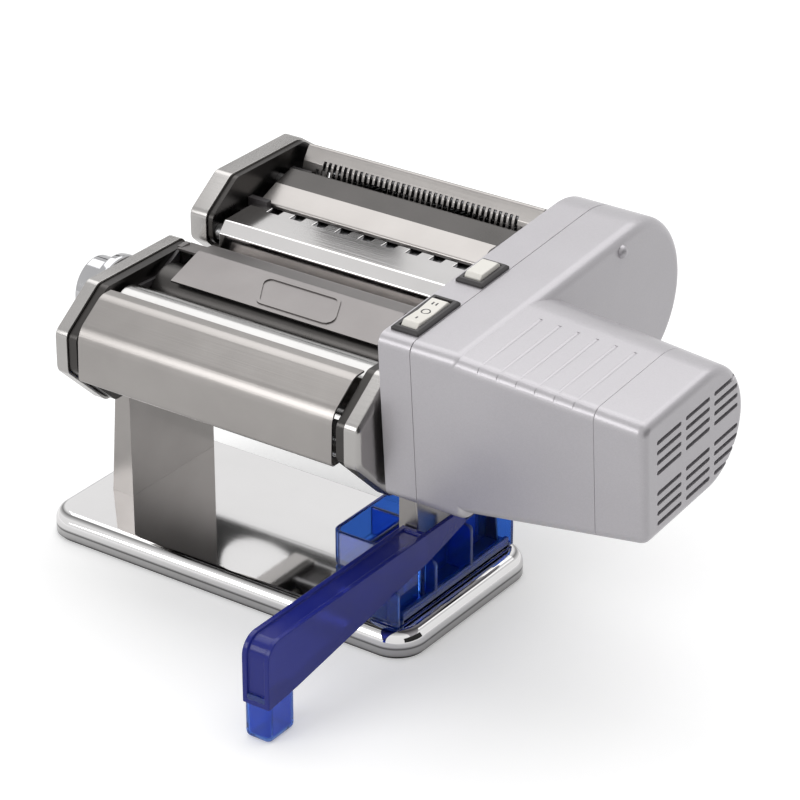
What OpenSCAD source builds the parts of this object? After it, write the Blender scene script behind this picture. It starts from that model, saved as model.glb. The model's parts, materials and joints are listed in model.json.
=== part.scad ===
// Electric pasta maker: a roller head with a two-width cutter attachment,
// a clip-on motor unit with its gear train, and a plug-in stabiliser.
// X runs along the rollers towards the motor, Y runs from front to back, Z is up.
// The origin is the middle of the base, on the surface that it stands on.

/* [Base] */
// How far the base plate reaches out beyond the leg
base_reach = 25.7; // [20:0.1:38]
// Depth of the base plate along Y
base_d = 103; // [98:1:120]
// Height of the base plate's top face
base_h = 13; // [10:0.5:18]
// Corner radius of the base plate seen from above
base_corner_r = 15; // [10:0.5:20]
// Radius of the rolled rim
base_rim_r = 6; // [4:0.5:8]
// Thickness of the pressed base sheet
base_sheet = 1.2; // [0.8:0.1:2]

/* [Legs] */
// Depth of a leg from its front flange to its back flange
leg_d = 61; // [57:1:66]
// Front face of the legs
leg_front_y = -18; // [-20:0.5:-16]
// Thickness of the leg sheet
leg_sheet = 1.2; // [1:0.1:1.4]
// Width of a leg's flanges at the base
leg_foot_w = 12; // [10:0.5:13]
// Width of a leg's flanges under the cheek
leg_top_w = 8; // [6:0.5:9]

/* [Roller head] */
// Length of the smooth rollers
roller_len = 137; // [130:0.5:150]
// Radius of the smooth rollers
roller_r = 14; // [12:0.25:14.5]
// Gap between the two rollers at the finest setting
nip_gap = 0.6; // [0.3:0.1:1]
// How far the front roller backs off at the coarsest setting
nip_travel = 2.4; // [1:0.1:2.6]
// Height of the roller axes
roller_z = 111.5; // [109:0.25:111.75]
// Middle plane of the roller head, where the dough passes
head_y = -10; // [-12:0.5:-8]
// Depth of the cheeks of the roller head
cheek_d = 98; // [96:1:102]
// Underside of the cheeks
cheek_low = 70; // [66:1:72]
// Top of the cheeks
cheek_top = 129.5; // [129:0.25:131]
// Thickness of an outer cheek
cheek_t = 6.8; // [6.4:0.2:9]
// Thickness of a side plate
side_plate_t = 4.6; // [4:0.1:5]
// Free space between a roller's end and its side plate
roller_end_gap = 2.5; // [2.3:0.1:3.5]

/* [Cutter attachment] */
// Distance from the roller nip back to the wide throat
cutter_setback = 78; // [77.5:0.25:79]
// Height of the cutter axes over the roller axes
cutter_lift = 11.5; // [10.5:0.25:12]
// How much shorter the cutting rings' row is than the smooth rollers
cutter_short = 20; // [19:0.5:24]
// Radius of the cutting rings
cutter_ring_r = 9.6; // [9:0.1:9.75]
// Radius of the grooves between the rings
cutter_groove_r = 7.4; // [6.8:0.1:7.5]
// Width of a wide ribbon
wide_ribbon = 6.5; // [5:0.25:8]
// Width of a narrow ribbon
narrow_ribbon = 1.6; // [1.5:0.1:2.5]
// Side clearance between a ring and the groove that it runs in
ring_play = 0.12; // [0.08:0.02:0.2]
// Height of the cutter cheeks' top over the cutter axes
cutter_rise = 26.5; // [25:0.5:29]
// Depth of the cutter cheeks' bottom under the cutter axes
cutter_drop = 16; // [14:0.5:18]

/* [Motor unit] */
// Tilt of the motor unit about X, back end up
unit_tilt = 4.35; // [3:0.05:5.5]
// Height of the gear case
case_h = 80; // [79:0.5:84]
// Thickness of the gear case's inner half
case_in_t = 16; // [15.5:0.25:18]
// Thickness of the gear case's outer half
case_out_t = 26; // [24:0.5:30]
// Radius of the gear case's round back end
case_nose_r = 39; // [38.5:0.25:40]
// Wall of the plastic shells
case_wall = 2.4; // [2:0.1:2.6]
// Length of the motor pod beyond the gear case
pod_len = 87.5; // [84:0.5:95]
// Length of the pod's end cap
pod_cap_len = 24; // [20:0.5:27]
// Number of grip grooves across the pod
pod_grooves = 6; // [3:1:6]

/* [Stabiliser] */
// Height of the tray over the base plate
tray_h = 18; // [14:0.5:19]
// Wall of the translucent moulding
tray_wall = 2.4; // [2:0.1:3]
// Width of the arm
arm_w = 14; // [12:0.5:16]
// Length of the arm in front of the leg
arm_len = 116.7; // [95:0.5:130]
// Height of the arm's top face
arm_top = 48; // [46:0.5:50]

/* [Hidden] */

// Smoothness of round things
$fn = 64;
// How far a cut runs past the face that it opens
over = 1;
// Radial clearance of a running shaft in its bore
run_play = 0.06;
// Clearance between parts that slide on each other
slide_play = 0.2;
// Clearance between parts that only pass near each other
air = 0.3;

// Colours
chrome = [0.72, 0.71, 0.70];
nickel = [0.66, 0.64, 0.62];
steel = [0.55, 0.55, 0.57];
silver_plastic = [0.74, 0.73, 0.75];
charcoal = [0.16, 0.15, 0.16];
cream = [0.88, 0.87, 0.83];
blue = [0.10, 0.12, 0.55];
copper = [0.72, 0.42, 0.22];
nylon = [0.90, 0.89, 0.84];

// Corners and sheets in the plane

function unit(v) = v / norm(v);

function left_normal(a, b) =
  let (d = unit(b - a)) [-d[1], d[0]];

function direction(a, b) = atan2(b[1] - a[1], b[0] - a[0]);

// Points of an arc of radius r that rounds the corner b between a and c
function corner_arc(a, b, c, r, steps = 4) =
  let (u = unit(a - b),
       w = unit(c - b),
       half = acos(u * w) / 2,
       reach = r / tan(half),
       middle = b + unit(u + w) * (r / sin(half)),
       from = b + u * reach - middle,
       to = b + w * reach - middle,
       start = atan2(from[1], from[0]),
       swing = atan2(to[1], to[0]) - start,
       turn = swing > 180 ? swing - 360 : swing < -180 ? swing + 360 : swing)
  [for (i = [0 : steps])
      middle + r * [cos(start + turn * i / steps), sin(start + turn * i / steps)]];

// A closed outline with every corner rounded
function rounded(p, r) =
  let (n = len(p))
  [for (i = [0 : n - 1]) each corner_arc(p[(i + n - 1) % n], p[i], p[(i + 1) % n], r)];

// An open path with its inner corners rounded, as a folded sheet has
function bent(p, r) =
  concat([p[0]],
         [for (i = [1 : len(p) - 2]) each corner_arc(p[i - 1], p[i], p[i + 1], r)],
         [p[len(p) - 1]]);

function mitre(p, i, t) =
  i == 0 ? p[0] + left_normal(p[0], p[1]) * t
  : i == len(p) - 1 ? p[i] + left_normal(p[i - 1], p[i]) * t
  : let (n1 = left_normal(p[i - 1], p[i]),
         n2 = left_normal(p[i], p[i + 1]),
         m = unit(n1 + n2))
    p[i] + m * (t / (m * n1));

// The section of a sheet of thickness t that lies to the left of a path
function sheet(p, t) =
  concat(p, [for (i = [len(p) - 1 : -1 : 0]) mitre(p, i, t)]);

// Where two circles cross, on the left of the line from a to b for side 1
function circles_cross(a, ra, b, rb, side) =
  let (d = norm(b - a),
       along = (ra * ra - rb * rb + d * d) / (2 * d),
       off = sqrt(ra * ra - along * along))
  a + unit(b - a) * along + left_normal(a, b) * off * side;

// A (Y, Z) vector turned by an angle
function turned(v, angle) =
  [v[0] * cos(angle) - v[1] * sin(angle), v[0] * sin(angle) + v[1] * cos(angle)];

function mix(a, b, share) = a + (b - a) * share;

// Extrudes a (Y, Z) outline along X, from x over the length w
module along_x(x, w) {
  translate([x, 0, 0])
    rotate([90, 0, 90])
      linear_extrude(height = w)
        children();
}

// A cylinder along X on the (Y, Z) point c, from x over the length w
module rod_x(x, w, r, c) {
  translate([x, c[0], c[1]])
    rotate([0, 90, 0])
      cylinder(h = w, r = r);
}

module ring_x(x, w, outer, inner, c) {
  difference() {
    rod_x(x, w, outer, c);
    rod_x(x - over, w + 2 * over, inner, c);
  }
}

// A hexagonal bar along X with its flats a distance flats apart
module hex_x(x, w, flats, c) {
  translate([x, c[0], c[1]])
    rotate([0, 90, 0])
      cylinder(h = w, r = flats / sqrt(3), $fn = 6);
}

// A box between two corners
module box(low, high) {
  translate(low)
    cube(high - low);
}

// Draws its children, and once more mirrored to the other end of the rollers
module both_ends() {
  children();
  mirror([1, 0, 0])
    children();
}

// Involute gears

// Pressure angle of every gear
pressure = 25;
// Shares of the module by which teeth reach past the pitch circle, and gaps inside it
tip_share = 0.9;
root_share = 1.15;
// Share of a tooth that is left free on each of its flanks
lash_share = 0.1;

function involute(a) = tan(a) * 180 / PI - a;

function flank_angle(m, teeth, r) =
  let (base_r = m * teeth / 2 * cos(pressure),
       a = acos(min(1, base_r / max(r, base_r))))
  90 / teeth * (1 - lash_share) + involute(pressure) - involute(a);

function tooth_radii(m, teeth) =
  let (pitch_r = m * teeth / 2,
       root_r = pitch_r - m * root_share,
       base_r = pitch_r * cos(pressure))
  [root_r, max(base_r, (root_r + pitch_r) / 2), pitch_r, pitch_r + m * tip_share];

// Outline of a gear with a tooth centred on the angle phase
function gear_outline(m, teeth, phase) =
  let (radii = tooth_radii(m, teeth))
  [for (t = [0 : teeth - 1])
      let (middle = phase + 360 * t / teeth)
      each concat([for (r = radii) r * [cos(middle - flank_angle(m, teeth, r)),
                                        sin(middle - flank_angle(m, teeth, r))]],
                  [for (i = [len(radii) - 1 : -1 : 0])
                      radii[i] * [cos(middle + flank_angle(m, teeth, radii[i])),
                                  sin(middle + flank_angle(m, teeth, radii[i]))]])];

// Phase of a gear b that meshes with a gear a, which lies in the direction angle from a
function mesh_phase(phase_a, teeth_a, teeth_b, angle) =
  angle + 180 + 180 / teeth_b - (phase_a - angle) * teeth_a / teeth_b;

// A gear on the (Y, Z) point c, from x over the width w
module gear_x(x, w, m, teeth, phase, c) {
  translate([0, c[0], c[1]])
    along_x(x, w)
      polygon(gear_outline(m, teeth, phase));
}

// Places along X, from the middle outwards

plate_span = roller_len + 2 * roller_end_gap;
plate_in_x = plate_span / 2;
plate_out_x = plate_in_x + side_plate_t;
cheek_in_x = plate_out_x + leg_sheet;
cheek_out_x = cheek_in_x + cheek_t;
base_w = 2 * (cheek_in_x + base_reach);
// Wall of the cheek caps
cap_wall = 1;

// Axes of the rollers, as (Y, Z) points

roller_pitch = 2 * roller_r + nip_gap;
front_axis = [head_y - roller_pitch / 2, roller_z];
rear_axis = [head_y + roller_pitch / 2, roller_z];
knob_axis = [head_y, roller_z];

// Roller gears have long teeth, which stay in mesh while the gap opens
roller_teeth = 14;
roller_m = roller_pitch / roller_teeth;
roller_gear_w = 3.8;
roller_gear_x = cheek_in_x + air;
journal_r = 5;

// Shafts that take the motor unit's hexagons
socket_shaft_r = 6.2;
socket_flats = 8;
socket_play = 0.15;
socket_bore_r = 9;
socket_end_x = roller_gear_x + roller_gear_w + air;
socket_bottom_x = plate_in_x + over;

// Axes of the cutters. The rings of a pair reach into each other, so the two pairs stand
// wider apart, at the pitch of a second row of larger gears.

cutter_teeth = 14;
link_teeth = 16;
cutter_m = 1.25;
cutter_pitch = cutter_teeth * cutter_m;
link_pitch = link_teeth * cutter_m;
cutter_z = roller_z + cutter_lift;
wide_y = head_y + cutter_setback;
narrow_y = wide_y + cutter_pitch + link_pitch;
cutter_axes = [for (y = [wide_y, narrow_y], s = [-1, 1]) [y + s * cutter_pitch / 2, cutter_z]];
wide_front_axis = cutter_axes[0];
wide_rear_axis = cutter_axes[1];
narrow_front_axis = cutter_axes[2];
narrow_rear_axis = cutter_axes[3];

// Base plate and pad

module round_rect(w, d, r) {
  square([w - 2 * r, d], center = true);
  square([w, d - 2 * r], center = true);
  for (sx = [-1, 1], sy = [-1, 1])
    translate([sx * (w / 2 - r), sy * (d / 2 - r)])
      circle(r = r);
}

// A slab whose top edge is rolled over with the radius edge_r
module rolled_slab(w, d, h, corner_r, edge_r) {
  linear_extrude(height = h - edge_r)
    round_rect(w, d, corner_r);
  linear_extrude(height = h)
    round_rect(w - 2 * edge_r, d - 2 * edge_r, corner_r - edge_r);
  for (s = [-1, 1]) {
    translate([-w / 2 + corner_r, s * (d / 2 - edge_r), h - edge_r])
      rotate([0, 90, 0])
        cylinder(h = w - 2 * corner_r, r = edge_r);
    translate([s * (w / 2 - edge_r), d / 2 - corner_r, h - edge_r])
      rotate([90, 0, 0])
        cylinder(h = d - 2 * corner_r, r = edge_r);
  }
  for (sx = [-1, 1], sy = [-1, 1])
    translate([sx * (w / 2 - corner_r), sy * (d / 2 - corner_r), h - edge_r])
      rotate_extrude()
        translate([corner_r - edge_r, 0])
          intersection() {
            circle(r = edge_r);
            translate([-(corner_r - edge_r), -edge_r])
              square([corner_r, 2 * edge_r]);
          }
}

// Height of the rim's lower edge over the surface
rim_lift = 1.6;
leg_screw_r = 2;
leg_screw_head_r = 3.6;
leg_screw_head_h = 1.8;
leg_screw_y_share = 0.28;

leg_screw_places =
  [for (sx = [-1, 1], sy = [-1, 1])
      [sx * (plate_out_x + leg_sheet + (leg_foot_w - leg_sheet) / 2),
       leg_front_y + leg_d / 2 + sy * leg_d * leg_screw_y_share]];

module base_plate() {
  color(chrome)
    difference() {
      rolled_slab(base_w, base_d, base_h, base_corner_r, base_rim_r);
      rolled_slab(base_w - 2 * base_sheet, base_d - 2 * base_sheet, base_h - base_sheet,
                  base_corner_r - base_sheet, base_rim_r - base_sheet);
      box([-base_w, -base_d, -over], [base_w, base_d, rim_lift]);
      for (p = leg_screw_places)
        translate([p[0], p[1], base_h - base_sheet - over])
          cylinder(h = base_sheet + 2 * over, r = leg_screw_r + slide_play);
    }
}

module base_pad() {
  inset = 2 * (base_sheet + air);
  color(charcoal)
    difference() {
      union() {
        linear_extrude(height = base_h - base_rim_r)
          round_rect(base_w - inset, base_d - inset, base_corner_r - inset / 2);
        linear_extrude(height = base_h - base_sheet)
          round_rect(base_w - 2 * base_rim_r - inset, base_d - 2 * base_rim_r - inset,
                     base_corner_r - base_rim_r - air);
      }
      for (p = leg_screw_places)
        translate([p[0], p[1], base_h - base_sheet - leg_screw_head_h - slide_play])
          cylinder(h = leg_screw_head_h + 2 * over, r = leg_screw_head_r + air);
    }
}

// Side plates and cheeks of the roller head

cheek_front_y = head_y - cheek_d / 2;
cheek_back_y = head_y + cheek_d / 2;
// How far the sloped corners of a cheek run along Y and along Z
cheek_slope_y = 23;
cheek_slope_z = 16.5;
cheek_foot_y = 25;
cheek_foot_z = 24;
cheek_back_slope = 15;
cheek_round = 5;
// How far the side plate stands back from the cheek's outline
plate_inset = 1;

function cheek_outline(inset) =
  let (f = cheek_front_y + inset,
       b = cheek_back_y - inset,
       lo = cheek_low + inset,
       hi = cheek_top - inset)
  [[f + cheek_foot_y, lo], [b - cheek_foot_y, lo], [b, lo + cheek_foot_z],
   [b, hi - cheek_slope_z], [b - cheek_back_slope, hi], [f + cheek_slope_y, hi],
   [f, hi - cheek_slope_z], [f, lo + cheek_foot_z]];

tie_rod_r = 4;
tie_rod_spots = [[cheek_front_y + cheek_foot_y / 2, cheek_low + cheek_foot_z],
                 [cheek_front_y + cheek_foot_y + tie_rod_r, cheek_low + 3 * tie_rod_r],
                 [cheek_back_y - cheek_foot_y - tie_rod_r, cheek_low + 3 * tie_rod_r],
                 [cheek_back_y - 2 * tie_rod_r, cheek_low + cheek_foot_z + 2 * tie_rod_r]];
tie_screw_r = 2;

// Screws between the legs and the side plates
plate_screw_r = 2;
plate_screw_z = cheek_low + cheek_foot_z / 2;
plate_screw_y_share = 0.3;
plate_screw_spots =
  [for (s = [-1, 1]) [leg_front_y + leg_d / 2 + s * leg_d * plate_screw_y_share, plate_screw_z]];

// Bushes of the rear roller, and the windows in which the front roller's blocks slide
plain_bush_r = 7.5;
socket_bush_r = 9;
block_h = 17;
block_d = 15;
knob_shaft_r = 4;

module side_plate(s) {
  x = s > 0 ? plate_in_x : -plate_out_x;
  difference() {
    along_x(x, side_plate_t)
      polygon(rounded(cheek_outline(plate_inset), cheek_round));
    rod_x(x - over, side_plate_t + 2 * over, s > 0 ? socket_bush_r : plain_bush_r, rear_axis);
    box([x - over, front_axis[0] - block_d / 2 - slide_play - nip_travel,
         front_axis[1] - block_h / 2 - slide_play],
        [x + side_plate_t + over, front_axis[0] + block_d / 2 + slide_play,
         front_axis[1] + block_h / 2 + slide_play]);
    for (c = tie_rod_spots)
      rod_x(x - over, side_plate_t + 2 * over, tie_screw_r, c);
    for (c = plate_screw_spots)
      rod_x(x - over, side_plate_t + 2 * over, plate_screw_r, c);
    if (s < 0)
      rod_x(x - over, side_plate_t + 2 * over, knob_shaft_r + run_play, knob_axis);
  }
}

module left_side_plate() {
  color(nickel)
    side_plate(-1);
}

module right_side_plate() {
  color(nickel)
    side_plate(1);
}

// A pressed cap: an outline with its outer edge bevelled, open towards the side plate.
// The three children are its outer outline, the one inside the bevel, and its cavity.
cap_edge = 1.6;

module pressed_cap(x, t) {
  difference() {
    hull() {
      along_x(x, t - cap_edge)
        children(0);
      along_x(x, t)
        children(1);
    }
    along_x(x - over, t - cap_wall + over)
      children(2);
  }
}

module cheek_cap() {
  pressed_cap(cheek_in_x, cheek_t) {
    polygon(rounded(cheek_outline(0), cheek_round));
    polygon(rounded(cheek_outline(cap_edge), cheek_round - cap_edge));
    polygon(rounded(cheek_outline(cap_wall), cheek_round - cap_wall));
  }
  for (c = tie_rod_spots)
    ring_x(cheek_in_x, cheek_t - cap_wall, tie_rod_r, tie_screw_r, c);
}

module left_cheek() {
  color(chrome)
    difference() {
      mirror([1, 0, 0])
        cheek_cap();
      rod_x(-cheek_out_x - over, cheek_t, knob_shaft_r + run_play, knob_axis);
    }
}

module right_cheek() {
  color(chrome)
    difference() {
      cheek_cap();
      rod_x(cheek_out_x - cap_wall - over, cap_wall + 2 * over, socket_bore_r, rear_axis);
    }
}

module tie_rods() {
  color(steel)
    for (c = tie_rod_spots) {
      rod_x(-plate_in_x, plate_span, tie_rod_r, c);
      both_ends()
        rod_x(plate_in_x - over, side_plate_t + leg_sheet + cheek_t / 2 + over, tie_screw_r, c);
    }
}

// Legs: folded channels, open to the outside

leg_x = plate_out_x;
leg_back_y = leg_front_y + leg_d;
// How far the web rises behind the cheek
leg_tab_h = 25;
leg_flange_top = cheek_low - air;
// Window at the foot of the right leg, where the stabiliser's tongue passes
tongue_inset = 6;
tongue_front_y = leg_front_y + tongue_inset;
tongue_back_y = leg_back_y - tongue_inset / 2;
window_gap = 1;

module leg_channel() {
  box([leg_x, leg_front_y, base_h], [leg_x + leg_sheet, leg_back_y, cheek_low + leg_tab_h]);
  for (y = [leg_front_y, leg_back_y - leg_sheet])
    translate([0, y + leg_sheet, 0])
      rotate([90, 0, 0])
        linear_extrude(height = leg_sheet)
          polygon([[leg_x, base_h], [leg_x + leg_foot_w, base_h],
                   [leg_x + leg_top_w, leg_flange_top], [leg_x, leg_flange_top]]);
  box([leg_x, leg_front_y, base_h], [leg_x + leg_foot_w, leg_back_y, base_h + leg_sheet]);
}

module leg(s) {
  difference() {
    if (s > 0)
      leg_channel();
    else
      mirror([1, 0, 0])
        leg_channel();
    for (p = leg_screw_places)
      translate([p[0], p[1], base_h - over])
        cylinder(h = leg_sheet + 2 * over, r = leg_screw_r);
    for (c = concat(plate_screw_spots, tie_rod_spots))
      rod_x(s > 0 ? leg_x - over : -leg_x - leg_sheet - over, leg_sheet + 2 * over,
            tie_screw_r, c);
  }
}

module left_leg() {
  color(nickel)
    leg(-1);
}

module right_leg() {
  color(nickel)
    difference() {
      leg(1);
      box([leg_x - over, tongue_front_y - window_gap, base_h + leg_sheet],
          [leg_x + leg_sheet + over, tongue_back_y + window_gap,
           base_h + tray_h + window_gap]);
    }
}

module leg_screws() {
  color(steel) {
    for (p = leg_screw_places)
      translate([p[0], p[1], base_h - base_sheet - leg_screw_head_h]) {
        cylinder(h = leg_screw_head_h, r = leg_screw_head_r);
        cylinder(h = leg_screw_head_h + base_sheet + leg_sheet, r = leg_screw_r);
      }
    both_ends()
      for (c = plate_screw_spots)
        rod_x(plate_in_x, side_plate_t + leg_sheet, plate_screw_r, c);
  }
}

// Sheet covers of the roller head, as (Y, Z) paths on their outer faces

cover_sheet = 1;
cover_bend_r = 3;
cover_gap = 1.5;
cover_x = plate_in_x - cover_gap;
lip_back = 24.8;
lip_drop = 2.9;
fold_back = 31.4;
nose_back = 47.6;
nose_drop = 14.4;
hem_back = 48.4;
hem_lift = 22.2;
hem_in = 7;
lip_z = cheek_top - lip_drop;
fold_y = head_y - fold_back;
hem_y = head_y - hem_back;
hem_z = cheek_low + hem_lift;

// Flange under a cover that reaches both side plates
module cover_flange(y) {
  box([-plate_in_x, y - cover_sheet, hem_z], [plate_in_x, y, hem_z + hem_in]);
}

module front_cover() {
  path = bent([[hem_y + hem_in, hem_z], [hem_y, hem_z],
               [head_y - nose_back, cheek_top - nose_drop], [fold_y, lip_z],
               [head_y - lip_back, lip_z]], cover_bend_r);
  color(nickel) {
    along_x(-cover_x, 2 * cover_x)
      polygon(sheet(path, -cover_sheet));
    cover_flange(hem_y + hem_in);
  }
}

guide_lead = 2;
guide_lead_drop = 4.4;
guide_crest = 22.8;
guide_crest_rise = 2.5;
guide_tail = 33;
guide_tail_rise = 1.5;
guide_fall = 40;
guide_fall_drop = 5.5;
guide_end = 14;
guide_half_w = plate_in_x - guide_end;
guide_step = 2;
guide_start = [head_y + guide_lead, cheek_top - guide_lead_drop];
guide_top = [head_y + guide_crest, cheek_top + guide_crest_rise];
guide_path = [guide_start, guide_top,
              [head_y + guide_tail, cheek_top + guide_tail_rise],
              [head_y + guide_fall, cheek_top - guide_fall_drop]];

// Raised frame pressed in the guide plate
frame_len = 43;
frame_d = 17;
frame_rib = 1.4;
frame_lean = 7;
frame_x = 7;
frame_rise = 0.6;

module frame_outline(inset) {
  half_l = frame_len / 2 - inset;
  half_d = frame_d / 2 - inset;
  polygon(rounded([[-half_l, -half_d], [half_l, -half_d], [half_l - frame_lean, half_d],
                   [-half_l - frame_lean, half_d]], 3 * frame_rib - inset));
}

module pressed_frame() {
  middle = (guide_start + guide_top) / 2;
  translate([frame_x + frame_lean / 2, middle[0], middle[1]])
    rotate([direction(guide_start, guide_top), 0, 0])
      translate([0, 0, -cover_sheet / 2])
        linear_extrude(height = cover_sheet / 2 + frame_rise)
          difference() {
            frame_outline(0);
            frame_outline(frame_rib);
          }
}

module guide_plate() {
  back_part = [for (i = [1 : 3]) guide_path[i]];
  color(nickel) {
    along_x(-guide_half_w, 2 * guide_half_w)
      polygon(sheet(bent(guide_path, cover_bend_r), -cover_sheet));
    pressed_frame();
    // Lower shoulders at both ends, and the tabs that hold them on the side plates
    both_ends() {
      along_x(guide_half_w - cover_sheet, cover_sheet)
        polygon(sheet(back_part, -guide_step - cover_sheet));
      along_x(guide_half_w - cover_sheet, cover_x - guide_half_w + cover_sheet)
        polygon(sheet([for (p = back_part) p - [0, guide_step]], -cover_sheet));
      box([cover_x - cover_sheet, guide_path[1][0] + guide_step,
           cheek_top - cheek_slope_z / 2],
          [plate_in_x, guide_path[2][0] - guide_step, guide_path[1][1] - guide_step]);
    }
  }
}

rear_face_y = tie_rod_spots[3][0] + tie_rod_r + cover_sheet;
rear_end = 6;
rear_half_w = plate_in_x - rear_end;
rear_lean = 4;

module rear_cover() {
  top_z = cheek_top - cheek_slope_z / 2;
  path = bent([[rear_face_y - rear_lean, top_z], [rear_face_y, top_z - 2 * rear_lean],
               [rear_face_y, hem_z], [rear_face_y - hem_in, hem_z]], cover_bend_r);
  color(nickel)
    along_x(-rear_half_w, 2 * rear_half_w)
      polygon(sheet(path, -cover_sheet));
}

// Guards that keep the dough between the roller ends

guard_t = 2;
// The bright inclined edge of a guard from the knob's axis, as shares of the roller's radius
guard_edge_shares = [[-2, 0.86], [-1.07, 0.78], [0.57, 0.71], [1.25, 0.99], [1.71, 1.21]];
guard_foot = 7;

module side_guards() {
  top = [for (p = guard_edge_shares) knob_axis + p * roller_r];
  last = len(top) - 1;
  color(charcoal)
    both_ends()
      along_x(plate_in_x - guard_t, guard_t)
        polygon(concat(top, [[top[last][0], roller_z + guard_foot],
                             [top[0][0], roller_z + guard_foot]]));
}

// Scrapers below the rollers

scraper_t = 1.2;
scraper_gap = 0.35;
scraper_angle = 35;

// A blade that leans against a roller from below, on the outer side that s names
module scraper(axis, s) {
  reach = roller_r + scraper_gap;
  tip = axis + reach * [s * sin(scraper_angle), -cos(scraper_angle)];
  foot = [axis[0] + s * reach, cheek_low + 4 * tie_rod_r];
  along_x(-plate_in_x, plate_span)
    polygon([tip, tip - [0, 2 * scraper_t], foot - [0, scraper_t], foot + [s * scraper_t, 0]]);
}

module scrapers() {
  color(steel) {
    scraper(front_axis - [nip_travel, 0], -1);
    scraper(rear_axis, 1);
  }
}

// Bushes of the rear roller and of the four cutters

cutter_in_x = plate_in_x - over;
cutter_len = roller_len - cutter_short;
cutter_plate_t = 4;
cutter_bush_r = 6;
cutter_socket_bush_r = 8.4;
cutter_journal_r = 4;

module bushes() {
  color(nylon) {
    ring_x(-plate_out_x, side_plate_t, plain_bush_r, journal_r + run_play, rear_axis);
    ring_x(plate_in_x, side_plate_t, socket_bush_r, socket_shaft_r + run_play, rear_axis);
    for (c = cutter_axes)
      ring_x(-cutter_in_x - cutter_plate_t, cutter_plate_t, cutter_bush_r,
             cutter_journal_r + run_play, c);
    for (c = [wide_front_axis, narrow_front_axis, narrow_rear_axis])
      ring_x(cutter_in_x, cutter_plate_t, cutter_bush_r, cutter_journal_r + run_play, c);
    ring_x(cutter_in_x, cutter_plate_t, cutter_socket_bush_r, socket_shaft_r + run_play,
           wide_rear_axis);
  }
}

// Sliding blocks of the front roller; the left one carries the follower of the knob's cam

follower_r = 2.5;
cam_play = 0.12;
cam_t = 4;
cam_x = -cheek_out_x + cap_wall + air;
cam_low_r = roller_pitch / 2 - follower_r - cam_play;
knob_turn = 270;

module carriage_blocks() {
  low = [front_axis[0] - block_d / 2, front_axis[1] - block_h / 2];
  color(nylon) {
    difference() {
      box([plate_in_x, low[0], low[1]], [plate_out_x, low[0] + block_d, low[1] + block_h]);
      rod_x(plate_in_x - over, side_plate_t + 2 * over, journal_r + run_play, front_axis);
    }
    difference() {
      box([-plate_out_x - over, low[0], low[1]],
          [-plate_in_x, low[0] + block_d, low[1] + block_h]);
      rod_x(-plate_out_x, side_plate_t + over, journal_r + run_play, front_axis);
    }
    rod_x(cam_x, -plate_out_x - cam_x, follower_r, front_axis);
  }
}

// Smooth rollers and their gears

end_play = 0.5;

module smooth_roller(axis) {
  rod_x(-roller_len / 2, roller_len, roller_r, axis);
  rod_x(-plate_out_x + end_play, plate_out_x, journal_r, axis);
}

module front_roller() {
  color(chrome) {
    smooth_roller(front_axis);
    rod_x(0, roller_gear_x + roller_gear_w, journal_r, front_axis);
  }
}

module rear_roller() {
  color(chrome)
    difference() {
      union() {
        smooth_roller(rear_axis);
        rod_x(0, socket_end_x, socket_shaft_r, rear_axis);
      }
      hex_x(socket_bottom_x, cheek_t + side_plate_t, socket_flats, rear_axis);
    }
}

module front_roller_gear() {
  color(steel)
    difference() {
      gear_x(roller_gear_x, roller_gear_w, roller_m, roller_teeth,
             mesh_phase(0, roller_teeth, roller_teeth, 180), front_axis);
      rod_x(roller_gear_x - over, roller_gear_w + 2 * over, journal_r, front_axis);
    }
}

module rear_roller_gear() {
  color(steel)
    difference() {
      gear_x(roller_gear_x, roller_gear_w, roller_m, roller_teeth, 0, rear_axis);
      rod_x(roller_gear_x - over, roller_gear_w + 2 * over, socket_shaft_r, rear_axis);
    }
}

// Thickness knob and its snail cam

knob_disc_r = 18.5;
knob_disc_t = 5;
knob_grip_r = 15;
knob_grip_len = 11;
knob_lobes = 12;
knob_lobe_r = 2.6;
knob_hollow_r = 11;
knob_hollow_depth = 6;
knob_x = -cheek_out_x - air;

module thickness_knob() {
  end_x = knob_x - knob_disc_t - knob_grip_len;
  color(chrome)
    difference() {
      union() {
        rod_x(knob_x - knob_disc_t, knob_disc_t, knob_disc_r, knob_axis);
        difference() {
          rod_x(end_x, knob_grip_len + over, knob_grip_r, knob_axis);
          for (i = [0 : knob_lobes - 1])
            rod_x(end_x - over, knob_grip_len + over, knob_lobe_r,
                  knob_axis + turned([knob_grip_r + knob_lobe_r / 2, 0],
                                     360 * i / knob_lobes));
        }
      }
      rod_x(end_x - over, knob_hollow_depth + over, knob_hollow_r, knob_axis);
      rod_x(knob_x - knob_disc_t, knob_disc_t + over, knob_shaft_r, knob_axis);
    }
}

// The cam rises over the knob's turn and falls back between these angles
cam_fall = [200, 255];
cam_step = 5;

// Radius of the cam at an angle from +Y: it grows as the angle falls from 180 to -90
function cam_r(angle) =
  cam_low_r + nip_travel * min(1, max(0, angle <= 180
    ? (180 - angle) / knob_turn
    : (angle - cam_fall[0]) / (cam_fall[1] - cam_fall[0])));

module knob_camshaft() {
  color(steel) {
    rod_x(knob_x - knob_disc_t, -plate_in_x - end_play - knob_x + knob_disc_t, knob_shaft_r,
          knob_axis);
    translate([0, knob_axis[0], knob_axis[1]])
      along_x(cam_x, cam_t)
        polygon([for (a = [-90 : cam_step : 270 - cam_step]) cam_r(a) * [cos(a), sin(a)]]);
  }
}

// Cutter attachment: end plates, cheeks, covers

cutter_front_reach = 29.5;
cutter_back_reach = 63.5;
cutter_slope_y = 19.5;
cutter_slope_z = 13.3;
cutter_foot_y = 17.5;
cutter_foot_z = 15.5;
cutter_round = 5;
cutter_cap_x = cutter_in_x + cutter_plate_t;

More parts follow.
